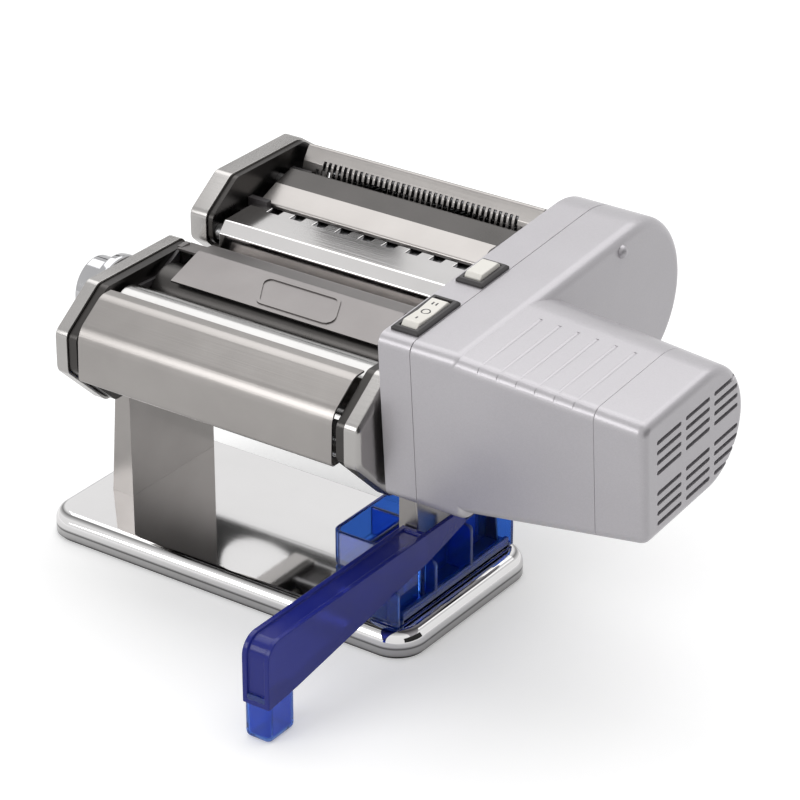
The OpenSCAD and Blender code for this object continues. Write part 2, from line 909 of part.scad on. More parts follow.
function cutter_outline(inset) =
  let (f = wide_y - cutter_front_reach + inset,
       b = wide_y + cutter_back_reach - inset,
       lo = cutter_z - cutter_drop + inset,
       hi = cutter_z + cutter_rise - inset)
  [[f + cutter_foot_y, lo], [b - cutter_foot_y, lo], [b, lo + cutter_foot_z],
   [b, hi - cutter_slope_z], [b - cutter_slope_y, hi], [f + cutter_slope_y, hi],
   [f, hi - cutter_slope_z], [f, lo + cutter_foot_z]];

module cutter_cap() {
  pressed_cap(cutter_cap_x, cheek_out_x - cutter_cap_x) {
    polygon(rounded(cutter_outline(0), cutter_round));
    polygon(rounded(cutter_outline(cap_edge), cutter_round - cap_edge));
    polygon(rounded(cutter_outline(cap_wall), cutter_round - cap_wall));
  }
}

module cutter_left_cheek() {
  color(chrome)
    mirror([1, 0, 0])
      cutter_cap();
}

module cutter_right_cheek() {
  color(chrome)
    difference() {
      cutter_cap();
      rod_x(cheek_out_x - cap_wall - over, cap_wall + 2 * over, socket_bore_r,
            wide_rear_axis);
    }
}

// Rods of the attachment: under the front rail, under the divider's crest, under the rear cover
rail_back = 24;
rail_rise = 10.5;
rail_drop = 11;
ramp_back = 2;
divider_low = [2.5, 10.5];
divider_knee = [15, 15.3];
divider_crest = [28.6, 18.9];
divider_foot = [29.6, 12];
crest_rod_r = 3;
// Places over the wide pair's nip
nip_point = [wide_y, cutter_z];
rod_inset = cover_sheet + tie_rod_r + slide_play;
rail_face_y = wide_y - cutter_front_reach + cover_sheet;
rail_path = [nip_point + [-ramp_back, rail_rise + cover_sheet / 2],
             nip_point + [-rail_back, rail_rise],
             [rail_face_y, cutter_z + rail_rise / 2],
             [rail_face_y, cutter_z - rail_drop],
             [rail_face_y + 2 * cover_bend_r, cutter_z - rail_drop - cover_bend_r]];
rail_rod = mitre(rail_path, 2, rod_inset);
crest_rod = nip_point + (divider_knee + divider_crest) / 2
      - left_normal(divider_knee, divider_crest) * (cover_sheet + crest_rod_r);
comb_edge = [35, 12];
comb_root = [37, 19];
rear_crest = [42, 26];
rear_shoulder_drop = 13.5;
rear_foot = [5, 7];
rear_inset = 2;
back_face_y = wide_y + cutter_back_reach - rear_inset;
back_path = [nip_point + comb_edge, nip_point + comb_root, nip_point + rear_crest,
             [back_face_y, cutter_z + cutter_rise - rear_shoulder_drop],
             [back_face_y, cutter_z],
             [back_face_y, cutter_z] - rear_foot];
rear_rod = mitre(back_path, 3, -rod_inset);

module cutter_tie_rods() {
  color(steel)
    for (c = [[rail_rod, tie_rod_r], [crest_rod, crest_rod_r], [rear_rod, tie_rod_r]]) {
      rod_x(-cutter_in_x, 2 * cutter_in_x, c[1], c[0]);
      rod_x(-cutter_cap_x, 2 * cutter_cap_x, tie_screw_r, c[0]);
    }
}

// End plate with a hook that drops over the head's rear tie rod
hook_t = 3.6;
hook_wall = 3;

module hook(x) {
  c = tie_rod_spots[3];
  r = tie_rod_r + slide_play;
  out = r + hook_wall;
  front = cutter_outline(0)[7];
  difference() {
    along_x(x, hook_t)
      polygon([[c[0] - out, c[1] - r], [c[0] - out, c[1] + out],
               [front[0] + hook_wall, cutter_z - cover_sheet],
               [front[0] + 4 * hook_wall, cutter_z - cover_sheet],
               [front[0] + 4 * hook_wall, cutter_z - 3 * hook_wall],
               [c[0] + out, c[1] - r]]);
    rod_x(x - over, hook_t + 2 * over, r, c);
    box([x - over, c[0] - r, c[1] - r - over], [x + hook_t + over, c[0] + r, c[1]]);
  }
}

module cutter_plate(s) {
  x = s > 0 ? cutter_in_x : -cutter_in_x - cutter_plate_t;
  difference() {
    along_x(x, cutter_plate_t)
      polygon(rounded(cutter_outline(plate_inset), cutter_round));
    for (c = cutter_axes)
      rod_x(x - over, cutter_plate_t + 2 * over,
            s > 0 && c == wide_rear_axis ? cutter_socket_bush_r : cutter_bush_r, c);
    for (c = [rail_rod, crest_rod, rear_rod])
      rod_x(x - over, cutter_plate_t + 2 * over, tie_screw_r, c);
  }
  hook(s > 0 ? cutter_in_x - hook_t : -cutter_in_x);
}

module cutter_plates() {
  color(nickel) {
    cutter_plate(-1);
    cutter_plate(1);
  }
}

// Half width of the attachment's covers
cutter_cover_end = 3.8;
cutter_cover_x = cutter_in_x - cutter_cover_end;
cutter_bend_r = 1.6;
tooth_depth = 4.5;

module cutter_front_cover() {
  pitch = 2 * wide_ribbon;
  teeth = floor(cutter_len / pitch / 2);
  color(nickel)
    difference() {
      along_x(-cutter_cover_x, 2 * cutter_cover_x)
        polygon(sheet(bent(rail_path, cutter_bend_r), cover_sheet));
      for (i = [-teeth : teeth])
        box([i * pitch - wide_ribbon / 2, wide_y - ramp_back - tooth_depth,
             cutter_z + rail_rise - 2 * cover_sheet],
            [i * pitch + wide_ribbon / 2, wide_y, cutter_z + rail_rise + 2 * cover_sheet]);
    }
}

module cutter_divider() {
  path = [for (p = [divider_low - [0, 2 * cover_sheet], divider_low, divider_knee,
                    divider_crest, divider_foot]) nip_point + p];
  color(nickel)
    along_x(-cutter_cover_x, 2 * cutter_cover_x)
      polygon(sheet(bent(path, cutter_bend_r), -cover_sheet));
}

module cutter_rear_cover() {
  pitch = 2 * narrow_ribbon;
  teeth = floor(cutter_len / pitch / 2);
  color(nickel)
    difference() {
      along_x(-cutter_cover_x, 2 * cutter_cover_x)
        polygon(sheet(bent(back_path, cutter_bend_r), -cover_sheet));
      for (i = [-teeth : teeth])
        box([i * pitch - narrow_ribbon / 2, wide_y + comb_edge[0] - cover_sheet,
             cutter_z + comb_edge[1] - cover_sheet],
            [i * pitch + narrow_ribbon / 2, wide_y + comb_root[0] + 2 * cover_sheet,
             cutter_z + comb_edge[1] + tooth_depth]);
    }
}

// Black guards that close the throats beside the cutting rings
guard_side = 8;
guard_top = 8.5;
guard_bottom = 11;
throat_half = 1.7;
wide_guard_rise = 13;
narrow_guard_rise = 16;
narrow_throat = [-7, -3.5];

module throat_guard(y, left, right, rise) {
  x = cutter_len / 2 + air;
  difference() {
    along_x(x, cutter_in_x - x)
      polygon([for (p = [[-guard_side, -guard_bottom], [-guard_side, guard_top], [left, guard_top],
                         [left, rise], [right, rise], [right, guard_top],
                         [guard_side, guard_top], [guard_side, -guard_bottom]])
                  [y, cutter_z] + p]);
    for (s = [-1, 1])
      rod_x(x - over, cutter_in_x - x + 2 * over, socket_shaft_r + air,
            [y + s * cutter_pitch / 2, cutter_z]);
  }
}

module cutter_guards() {
  color(charcoal)
    both_ends() {
      throat_guard(wide_y, -throat_half, throat_half, wide_guard_rise);
      throat_guard(narrow_y, narrow_throat[0], narrow_throat[1], narrow_guard_rise);
    }
}

// Stripper combs under the cutters, with a finger in each groove

comb_reach = 8;
comb_bar_drop = 13.5;
comb_bar_t = 2;
finger_back = 5;
finger_drop = 7.7;
finger_play = 0.3;

function ring_count(ribbon) = floor(cutter_len / ribbon);
function row_start(ribbon) = -ring_count(ribbon) * ribbon / 2;

// One comb on the side s of a pair; its fingers run in the grooves that parity names
module comb(y, s, ribbon, parity) {
  bar = [y + s * comb_reach, cutter_z - comb_bar_drop];
  tip = [y + s * finger_back, cutter_z - finger_drop];
  along_x(-cutter_in_x, 2 * cutter_in_x)
    polygon([bar, bar + [s * comb_bar_t, 0], bar + [s * comb_bar_t, comb_bar_t],
             bar + [0, comb_bar_t]]);
  for (i = [parity : 2 : ring_count(ribbon) - 1])
    along_x(row_start(ribbon) + i * ribbon + finger_play, ribbon - 2 * finger_play)
      polygon([bar, bar + [0, comb_bar_t], tip, tip - [0, comb_bar_t / 2]]);
}

module wide_combs() {
  color(steel) {
    comb(wide_y, -1, wide_ribbon, 1);
    comb(wide_y, 1, wide_ribbon, 0);
  }
}

module narrow_combs() {
  color(steel) {
    comb(narrow_y, -1, narrow_ribbon, 1);
    comb(narrow_y, 1, narrow_ribbon, 0);
  }
}

// Cutter rollers: rings on every other ribbon, and their gears in the left cheek

cutter_gear_x = -cutter_cap_x - air;
cutter_gear_w = 4;

module cutter_roller(axis, ribbon, parity) {
  start = row_start(ribbon);
  rod_x(start, -2 * start, cutter_groove_r, axis);
  for (i = [parity : 2 : ring_count(ribbon) - 1])
    rod_x(start + i * ribbon + ring_play, ribbon - 2 * ring_play, cutter_ring_r, axis);
  rod_x(cutter_gear_x - cutter_gear_w, -cutter_gear_x + cutter_gear_w + cutter_cap_x - end_play,
        cutter_journal_r, axis);
}

module wide_cutter_front() {
  color(steel)
    cutter_roller(wide_front_axis, wide_ribbon, 0);
}

module wide_cutter_rear() {
  color(steel)
    difference() {
      union() {
        cutter_roller(wide_rear_axis, wide_ribbon, 1);
        rod_x(0, socket_end_x, socket_shaft_r, wide_rear_axis);
      }
      hex_x(socket_bottom_x, socket_end_x, socket_flats, wide_rear_axis);
    }
}

module narrow_cutter_front() {
  color(steel)
    cutter_roller(narrow_front_axis, narrow_ribbon, 0);
}

module narrow_cutter_rear() {
  color(steel)
    cutter_roller(narrow_rear_axis, narrow_ribbon, 1);
}

// The gear of cutter i; every second one is turned by half a tooth. The two middle ones
// have a larger row beside them, which joins the wide pair to the narrow pair.
link_w = 3.8;

module cutter_gear(i) {
  color(steel)
    difference() {
      union() {
        gear_x(cutter_gear_x - cutter_gear_w, cutter_gear_w, cutter_m, cutter_teeth,
               i % 2 == 0 ? 0 : mesh_phase(0, cutter_teeth, cutter_teeth, 0), cutter_axes[i]);
        if (i == 1 || i == 2)
          gear_x(cutter_gear_x - cutter_gear_w - link_w, link_w, cutter_m, link_teeth,
                 i == 1 ? 0 : mesh_phase(0, link_teeth, link_teeth, 0), cutter_axes[i]);
      }
      rod_x(cutter_gear_x - cutter_gear_w - link_w - over, cutter_gear_w + link_w + 2 * over,
            cutter_journal_r, cutter_axes[i]);
    }
}

module wide_front_gear() { cutter_gear(0); }
module wide_rear_gear() { cutter_gear(1); }
module narrow_front_gear() { cutter_gear(2); }
module narrow_rear_gear() { cutter_gear(3); }

// Motor unit. Its own frame has X from the parting plane outwards, Y from the front
// face backwards and Z from the top face, all turned by the unit's tilt.

// Gap between the cheeks and the gear case
dock_gap = 2.4;
// Place of the rollers' drive behind the case's front and below its top
dock_back = 49.4;
dock_drop = 46.8;
// How far the round end's centre lies behind the cutters' drive
nose_back_len = 13.5;
case_corner_r = 5;
case_edge = 3.5;

unit_x = cheek_out_x + dock_gap + case_in_t;
roller_drive = [dock_back, -dock_drop];
unit_yz = rear_axis - turned(roller_drive, unit_tilt);

function to_unit(p) = turned(p - unit_yz, -unit_tilt);

cutter_drive = to_unit(wide_rear_axis);
nose_y = cutter_drive[0] + nose_back_len;

module motor_frame() {
  translate([unit_x, unit_yz[0], unit_yz[1]])
    rotate([unit_tilt, 0, 0])
      children();
}

// Side view of the gear case, drawn inside its outline by inset
module case_profile(inset) {
  top = -inset;
  bottom = -case_h + inset;
  back_bottom = -2 * case_nose_r + inset;
  polygon(concat(corner_arc([nose_y, top], [inset, top], [inset, bottom], case_corner_r),
                 corner_arc([inset, top], [inset, bottom], [nose_y, back_bottom], case_corner_r),
                 [[nose_y, back_bottom], [nose_y, top]]));
  translate([nose_y, -case_nose_r])
    circle(r = case_nose_r - inset);
}

// Gear train

drive_m = 1.25;
fast_m = 0.8;
roller_drive_teeth = 36;
idler_teeth = 28;
cutter_drive_teeth = 28;
step_teeth = 12;
reduction_teeth = 54;
pinion_teeth = 12;
reduction_bearing = 140;
pinion_bearing = -16;

function span(m, a, b) = m * (a + b) / 2;

reduction_c = roller_drive
              + turned([span(drive_m, roller_drive_teeth, step_teeth), 0], reduction_bearing);
motor_c = reduction_c + turned([span(fast_m, reduction_teeth, pinion_teeth), 0], pinion_bearing);
idler_c = circles_cross(roller_drive, span(drive_m, roller_drive_teeth, idler_teeth),
                        cutter_drive, span(drive_m, idler_teeth, cutter_drive_teeth), 1);

step_phase = mesh_phase(0, roller_drive_teeth, step_teeth, reduction_bearing);
pinion_phase = mesh_phase(step_phase, reduction_teeth, pinion_teeth, pinion_bearing);
idler_bearing = direction(roller_drive, idler_c);
idler_phase = mesh_phase(0, roller_drive_teeth, idler_teeth, idler_bearing);
cutter_drive_phase = mesh_phase(idler_phase, idler_teeth, cutter_drive_teeth,
                                direction(idler_c, cutter_drive));

gear_plate_t = 2;
gear_gap = 3;
slow_w = 8;
fast_w = 6;
slow_x = -gear_gap - slow_w;
fast_x = gear_plate_t + over;
drive_shaft_r = 6;
drive_stub_r = 4;
idler_pin_r = 3;
reduction_pin_r = 2.5;
hub_r = 4.6;
pin_seat = 1.2;
boss_r = 8.85;
// The docking bosses end just short of the sockets
boss_end_x = socket_end_x + 2 * air - unit_x;
hex_flats = socket_flats - 2 * socket_play;

// A drive gear with its shaft through the docking boss and the hexagon on its end
module drive_gear(teeth, phase, c, world_c) {
  motor_frame() {
    gear_x(slow_x, slow_w, drive_m, teeth, phase, c);
    rod_x(boss_end_x, slow_x - boss_end_x + over, drive_shaft_r, c);
    rod_x(slow_x, slow_w + gear_gap + gear_plate_t - slide_play, drive_stub_r, c);
  }
  hex_x(socket_bottom_x + over, unit_x + boss_end_x - socket_bottom_x, hex_flats, world_c);
}

module roller_drive_gear() {
  color(steel)
    drive_gear(roller_drive_teeth, 0, roller_drive, rear_axis);
}

module cutter_drive_gear() {
  color(steel)
    drive_gear(cutter_drive_teeth, cutter_drive_phase, cutter_drive, wide_rear_axis);
}

module idler_gear() {
  color(nylon)
    motor_frame()
      difference() {
        gear_x(slow_x, slow_w, drive_m, idler_teeth, idler_phase, idler_c);
        rod_x(slow_x - over, slow_w + 2 * over, idler_pin_r + run_play, idler_c);
      }
}

module reduction_gear() {
  color(nylon)
    motor_frame()
      difference() {
        union() {
          gear_x(slow_x, slow_w, drive_m, step_teeth, step_phase, reduction_c);
          rod_x(slow_x + slow_w - over, fast_x - slow_x - slow_w + 2 * over, hub_r,
                reduction_c);
          gear_x(fast_x, fast_w, fast_m, reduction_teeth,
                 step_phase, reduction_c);
        }
        rod_x(slow_x - over, fast_x + fast_w - slow_x + 2 * over,
              reduction_pin_r + run_play, reduction_c);
      }
}

module gear_pins() {
  seat_x = -case_in_t + case_wall - pin_seat;
  color(steel)
    motor_frame() {
      rod_x(seat_x, -seat_x + gear_plate_t, idler_pin_r, idler_c);
      rod_x(seat_x, -seat_x + fast_x + fast_w + over, reduction_pin_r, reduction_c);
    }
}

// Screws that hold the two halves of the case, at places between the gears
screw_r = 1.5;
screw_head_r = 2.8;
screw_head_h = 1.4;
screw_inset = 5.6;
post_r = 3.5;
screw_mid_share = 0.62;
case_screw_spots = [[screw_inset, -screw_inset], [screw_inset, -case_h + screw_inset],
                    [nose_y * screw_mid_share, -screw_inset],
                    [nose_y * screw_mid_share, -2 * case_nose_r + screw_inset],
                    [nose_y + case_nose_r - screw_inset, -case_nose_r]];

module case_screws() {
  color(steel)
    motor_frame()
      for (c = case_screw_spots) {
        rod_x(-case_in_t, screw_head_h, screw_head_r, c);
        rod_x(-case_in_t, case_in_t + case_out_t / 2, screw_r, c);
      }
}

// Motor mounting posts stand on the gear plate, away from the reduction gear
motor_r = 21;
motor_x = 16;
motor_len = 59;
motor_post_r = 3;
motor_post_reach = 15;
motor_post_angles = [-70, -10, 50];

module gear_plate() {
  color(nickel)
    motor_frame() {
      difference() {
        along_x(0, gear_plate_t)
          case_profile(case_wall + air);
        for (c = case_screw_spots)
          rod_x(-over, gear_plate_t + 2 * over, post_r + slide_play, c);
        for (c = [roller_drive, cutter_drive])
          rod_x(-over, gear_plate_t + 2 * over, drive_stub_r + run_play, c);
        rod_x(-over, gear_plate_t + 2 * over, idler_pin_r, idler_c);
        rod_x(-over, gear_plate_t + 2 * over, hub_r + air, reduction_c);
      }
      for (a = motor_post_angles)
        rod_x(gear_plate_t - over, motor_x - gear_plate_t + over, motor_post_r,
              motor_c + turned([motor_post_reach, 0], a));
    }
}

// Switches on the top of the inner half

bezel_w = 14;
bezel_rise = 2;
bezel_skirt = 0.8;
bezel_depth = 12;
rocker_y = 23;
rocker_d = 32;
pulse_y = 65.4;
pulse_d = 21.3;
bezel_x = -7.3;
key_margin = 2.6;
pulse_rise = 2;
rocker_pivot_drop = 3;
rocker_pin_r = 1.5;
rocker_pin_len = 1.4;
key_rise = 2.2;

// Hole in the case's top for a bezel
module bezel_hole(y, d) {
  half_w = bezel_w / 2 - bezel_skirt;
  half_d = d / 2 - bezel_skirt;
  box([bezel_x - half_w, y - half_d, -bezel_depth], [bezel_x + half_w, y + half_d, over]);
}

// A bezel: a flange on the case with a skirt through its hole and an opening for the key
module bezel(y, d) {
  half_w = bezel_w / 2;
  half_d = d / 2;
  inner_w = half_w - key_margin;
  inner_d = half_d - key_margin;
  difference() {
    union() {
      box([bezel_x - half_w, y - half_d, 0], [bezel_x + half_w, y + half_d, bezel_rise]);
      box([bezel_x - half_w + bezel_skirt, y - half_d + bezel_skirt, -bezel_depth / 2],
          [bezel_x + half_w - bezel_skirt, y + half_d - bezel_skirt, over]);
    }
    box([bezel_x - inner_w, y - inner_d, -bezel_depth],
        [bezel_x + inner_w, y + inner_d, bezel_rise + over]);
  }
}

module rocker_bezel() {
  pin_r = rocker_pin_r + run_play;
  w = bezel_w - 2 * key_margin + 2 * rocker_pin_len;
  color(charcoal)
    motor_frame()
      difference() {
        bezel(rocker_y, rocker_d);
        rod_x(bezel_x - w / 2, w, pin_r, [rocker_y, -rocker_pivot_drop]);
      }
}

module rocker_switch() {
  half_w = bezel_w / 2 - key_margin - air;
  end_r = rocker_d / 2 - key_margin - air;
  pivot = [rocker_y, -rocker_pivot_drop];
  pin_w = 2 * (half_w + air + rocker_pin_len) - 2 * slide_play;
  color(cream)
    motor_frame() {
      intersection() {
        rod_x(bezel_x - half_w, 2 * half_w, end_r, pivot);
        along_x(bezel_x - half_w, 2 * half_w)
          polygon([for (p = [[-end_r, -rocker_pin_r], [-end_r, 2 * key_rise + over],
                             [0, 2 * key_rise], [end_r, 2 * key_rise + over],
                             [end_r, -rocker_pin_r], [0, -2 * rocker_pin_r]]) pivot + p]);
      }
      rod_x(bezel_x - pin_w / 2, pin_w, rocker_pin_r, pivot);
    }
}

module pulse_bezel() {
  color(charcoal)
    motor_frame()
      bezel(pulse_y, pulse_d);
}

module pulse_button() {
  half_w = bezel_w / 2 - key_margin - air;
  half_d = pulse_d / 2 - key_margin - air;
  flange = key_margin / 2;
  color(cream)
    motor_frame() {
      box([bezel_x - half_w, pulse_y - half_d, -bezel_depth / 2 - air - over],
          [bezel_x + half_w, pulse_y + half_d, bezel_rise + pulse_rise]);
      box([bezel_x - half_w - flange, pulse_y - half_d - flange,
           -bezel_depth / 2 - air - 2 * over],
          [bezel_x + half_w + flange, pulse_y + half_d + flange,
           -bezel_depth / 2 - air]);
    }
}

// Shells of the motor unit

module gear_case_inner() {
  color(silver_plastic)
    motor_frame()
      difference() {
        union() {
          difference() {
            along_x(-case_in_t, case_in_t)
              case_profile(0);
            along_x(-case_in_t + case_wall, case_in_t)
              case_profile(case_wall);
          }
          for (c = [roller_drive, cutter_drive])
            rod_x(boss_end_x, -boss_end_x - case_in_t + case_wall, boss_r, c);
          for (c = case_screw_spots)
            rod_x(-case_in_t, case_in_t, post_r, c);
        }
        for (c = [roller_drive, cutter_drive])
          rod_x(boss_end_x - over, case_in_t, drive_shaft_r + run_play, c);
        for (c = case_screw_spots) {
          rod_x(-case_in_t - over, case_in_t + 2 * over, screw_r, c);
          rod_x(-case_in_t - over, screw_head_h + over, screw_head_r, c);
        }
        rod_x(-case_in_t + case_wall - pin_seat, case_wall, idler_pin_r, idler_c);
        rod_x(-case_in_t + case_wall - pin_seat, case_wall, reduction_pin_r, reduction_c);
        bezel_hole(rocker_y, rocker_d);
        bezel_hole(pulse_y, pulse_d);
      }
}

// Sections of the pod at its root and at its tip
pod_root_top = 1;
pod_root_step = 4;
pod_root_bottom = case_h - pod_root_step;
pod_root_mid = 53.6;
pod_tip_top = 5.6;
pod_tip_bottom = 62;
pod_tip_mid = 51;
pod_corner_r = 9;
pod_end_edge = 4;

// Side view of the pod at a share of its length, drawn inside its outline by inset
module pod_section(share, inset) {
  top = -mix(pod_root_top, pod_tip_top, share);
  bottom = -mix(pod_root_bottom, pod_tip_bottom, share);
  middle = mix(pod_root_mid, pod_tip_mid, share);
  corner = pod_corner_r - inset;
  polygon(concat(corner_arc([middle, top - inset], [inset, top - inset], [inset, bottom + inset],
                            corner),
                 corner_arc([inset, top - inset], [inset, bottom + inset],
                            [middle, bottom + inset], corner),
                 [[middle, bottom + inset], [middle, top - inset]]));
  translate([middle, (top + bottom) / 2])
    circle(r = (top - bottom) / 2 - inset, $fn = 32);
}

module pod_slab(x, thick, inset) {
  along_x(x, thick)
    pod_section((x - case_out_t) / pod_len, inset);
}

// The pod between two places along X, tapering with its sections
module pod_length(from, to, inset) {
  hull() {
    pod_slab(from, over / 10, inset);
    pod_slab(to - over / 10, over / 10, inset);
  }
}

cap_x = case_out_t + pod_len - pod_cap_len;
pod_end_x = case_out_t + pod_len;

groove_first = 8;
groove_pitch = 9.2;
groove_w = 1.6;
groove_depth = 0.9;
dome_r = 6;
dome_rise = 2;
dome_drop = 9;

module pod_groove(x) {
  top = -mix(pod_root_top, pod_tip_top, (x - case_out_t) / pod_len);
  box([x - groove_w / 2, -over, top - groove_depth],
      [x + groove_w / 2, pod_root_mid + pod_corner_r, over]);
}

inlet_x = 13;
inlet_back = 32;
inlet_r = 6.5;
inlet_bore_r = 3.5;
inlet_flange_r = 9;
inlet_flange_t = 2.2;
inlet_in = 8;
inlet_out = 6;
inlet_place = [inlet_x, nose_y - inlet_back];
// The case's bottom slopes, so the level flange keeps this much more room
inlet_gap = air + 2 * inlet_flange_r * abs(case_h - 2 * case_nose_r) / nose_y;

// Height of the case's bottom face at the inlet
function inlet_z() = -mix(case_h, 2 * case_nose_r, inlet_place[1] / nose_y);

module gear_case_outer() {
  color(silver_plastic)
    motor_frame()
      difference() {
        union() {
          hull() {
            along_x(0, case_out_t - case_edge)
              case_profile(0);
            along_x(0, case_out_t - case_edge / 3)
              case_profile(case_edge / 3);
            along_x(0, case_out_t)
              case_profile(case_edge);
          }
          pod_length(case_out_t - case_edge, cap_x, 0);
          translate([case_out_t + dome_rise - dome_r, cutter_drive[0], -dome_drop])
            sphere(r = dome_r);
        }
        difference() {
          along_x(-over, case_out_t - case_wall + over)
            case_profile(case_wall);
          for (c = case_screw_spots)
            rod_x(gear_plate_t, case_out_t, post_r, c);
        }
        pod_length(case_out_t - case_edge - case_wall, cap_x + over, case_wall);
        for (c = case_screw_spots)
          rod_x(-over, case_out_t / 2 + over, screw_r, c);
        for (i = [0 : pod_grooves - 1])
          pod_groove(case_out_t + groove_first + i * groove_pitch);
        translate([inlet_place[0], inlet_place[1], inlet_z() - over])
          cylinder(h = case_wall + 3 * over, r = inlet_r);
      }
}

vent_first_y = 9.5;
vent_w = 19;
vent_pitch_y = 22.5;
vent_columns = 3;
vent_rows = 8;
vent_first_z = 16;
vent_pitch_z = 4.75;
vent_break = 5;
vent_h = 2;

module pod_end_cap() {
  wall = case_wall;
  color(silver_plastic)
    motor_frame()
      difference() {
        hull() {
          pod_slab(cap_x, over / 10, 0);
          pod_slab(pod_end_x - pod_end_edge, over / 10, 0);
          pod_slab(pod_end_x - pod_end_edge / 3, over / 10, pod_end_edge / 3);
          pod_slab(pod_end_x - over / 10, over / 10, pod_end_edge);
        }
        hull() {
          pod_slab(cap_x - over, over / 10, wall);
          pod_slab(pod_end_x - pod_end_edge - wall, over / 10, wall);
          pod_slab(pod_end_x - wall, over / 10, wall + pod_end_edge);
        }
        for (column = [0 : vent_columns - 1], row = [0 : vent_rows - 1]) {
          y = vent_first_y + column * vent_pitch_y;
          z = -vent_first_z - row * vent_pitch_z - (row < vent_rows / 2 ? 0 : vent_break);
          box([pod_end_x - 2 * wall, y, z - vent_h], [pod_end_x + over, y + vent_w, z]);
        }
      }
}

// Motor

rotor_bore_r = 13.2;
rotor_core_r = 12.7;
rotor_shaft_r = 2.5;
rotor_core_gap = 8;
rotor_slots = 6;
rotor_slot_w = 3;
rotor_slot_depth = 5;
fan_gap = 9;
fan_t = 10;
fan_plate_t = 1.5;
fan_r = 20;
fan_hub_r = 6;
fan_blades = 7;

module motor_stator() {
  color(steel)
    motor_frame()
      difference() {
        rod_x(motor_x, motor_len, motor_r, motor_c);
        rod_x(motor_x + gear_plate_t, motor_len - 2 * gear_plate_t, rotor_bore_r, motor_c);
        rod_x(motor_x - over, motor_len + 2 * over, rotor_shaft_r + run_play, motor_c);
      }
}

module motor_rotor() {
  core_x = motor_x + rotor_core_gap;
  core_len = motor_len - 2 * rotor_core_gap;
  color(copper)
    motor_frame() {
      gear_x(fast_x, fast_w + over, fast_m, pinion_teeth, pinion_phase, motor_c);
      rod_x(fast_x, motor_x + motor_len + fan_gap + fan_t - fast_x, rotor_shaft_r, motor_c);
      difference() {
        rod_x(core_x, core_len, rotor_core_r, motor_c);
        for (i = [0 : rotor_slots - 1])
          translate([0, motor_c[0], motor_c[1]])
            rotate([360 * i / rotor_slots, 0, 0])
              box([core_x - over, rotor_core_r - rotor_slot_depth, -rotor_slot_w / 2],
                  [core_x + core_len + over, rotor_core_r + over, rotor_slot_w / 2]);
      }
    }
}

module cooling_fan() {
  x = motor_x + motor_len + fan_gap;
  color(charcoal)
    motor_frame()
      difference() {
        union() {
          rod_x(x, fan_t, fan_hub_r, motor_c);
          rod_x(x, fan_plate_t, fan_r, motor_c);
          for (i = [0 : fan_blades - 1])
            translate([0, motor_c[0], motor_c[1]])
              rotate([360 * i / fan_blades, 0, 0])
                box([x + fan_plate_t / 2, (rotor_shaft_r + fan_hub_r) / 2, -fan_plate_t / 2],
                    [x + fan_t - fan_plate_t, fan_r - fan_plate_t, fan_plate_t / 2]);
        }
        rod_x(x - over, fan_t + 2 * over, rotor_shaft_r, motor_c);
      }
}

// Grommet of the mains lead under the case
module cord_inlet() {
  z = inlet_z();
  color(charcoal)
    motor_frame()
      translate([inlet_place[0], inlet_place[1], 0])
        difference() {
          union() {
            translate([0, 0, z - inlet_out])
              cylinder(h = inlet_out + inlet_in, r = inlet_r);
            translate([0, 0, z - inlet_gap - inlet_flange_t])
              cylinder(h = inlet_flange_t, r = inlet_flange_r);
          }
          translate([0, 0, z - inlet_out - over])
            cylinder(h = inlet_out + inlet_in + 2 * over, r = inlet_bore_r);
        }
}

// Stabiliser: a tray whose tongue passes through the right leg, and an arm to the front

tongue_len = 38.6;
tray_out_w = 17.2;
tray_front = 27;
tray_back = 3;
tray_lip_h = 6;
flange_slot = 0.6;
arm_out_inset = 2;
arm_recess = 1.2;
arm_nose_r = 9;
arm_low_front = 19;
arm_low_back = 33.5;
foot_d = 18.7;
foot_h = 17;
foot_round = 4;
plate_tail = 28;

tray_left_x = leg_x - tongue_len;
tray_right_x = cheek_in_x + tray_out_w;
tray_top_z = base_h + tray_h;
floor_z = base_h + leg_sheet + air;
tray_front_y = leg_front_y - tray_front;
tray_back_y = leg_back_y + tray_back;
clear_x = leg_x + leg_sheet + flange_slot;
flange_x = leg_x + leg_foot_w + flange_slot;
arm_right_x = tray_right_x - arm_out_inset;
arm_left_x = arm_right_x - arm_w;
arm_front_y = leg_front_y - arm_len;
arm_back_y = leg_front_y - flange_slot;

// A tray wall along X at y, between two places, from the height low up to the tray's top
module wall_x(from, to, y, low) {
  box([from, y, low], [to, y + tray_wall, tray_top_z]);
}

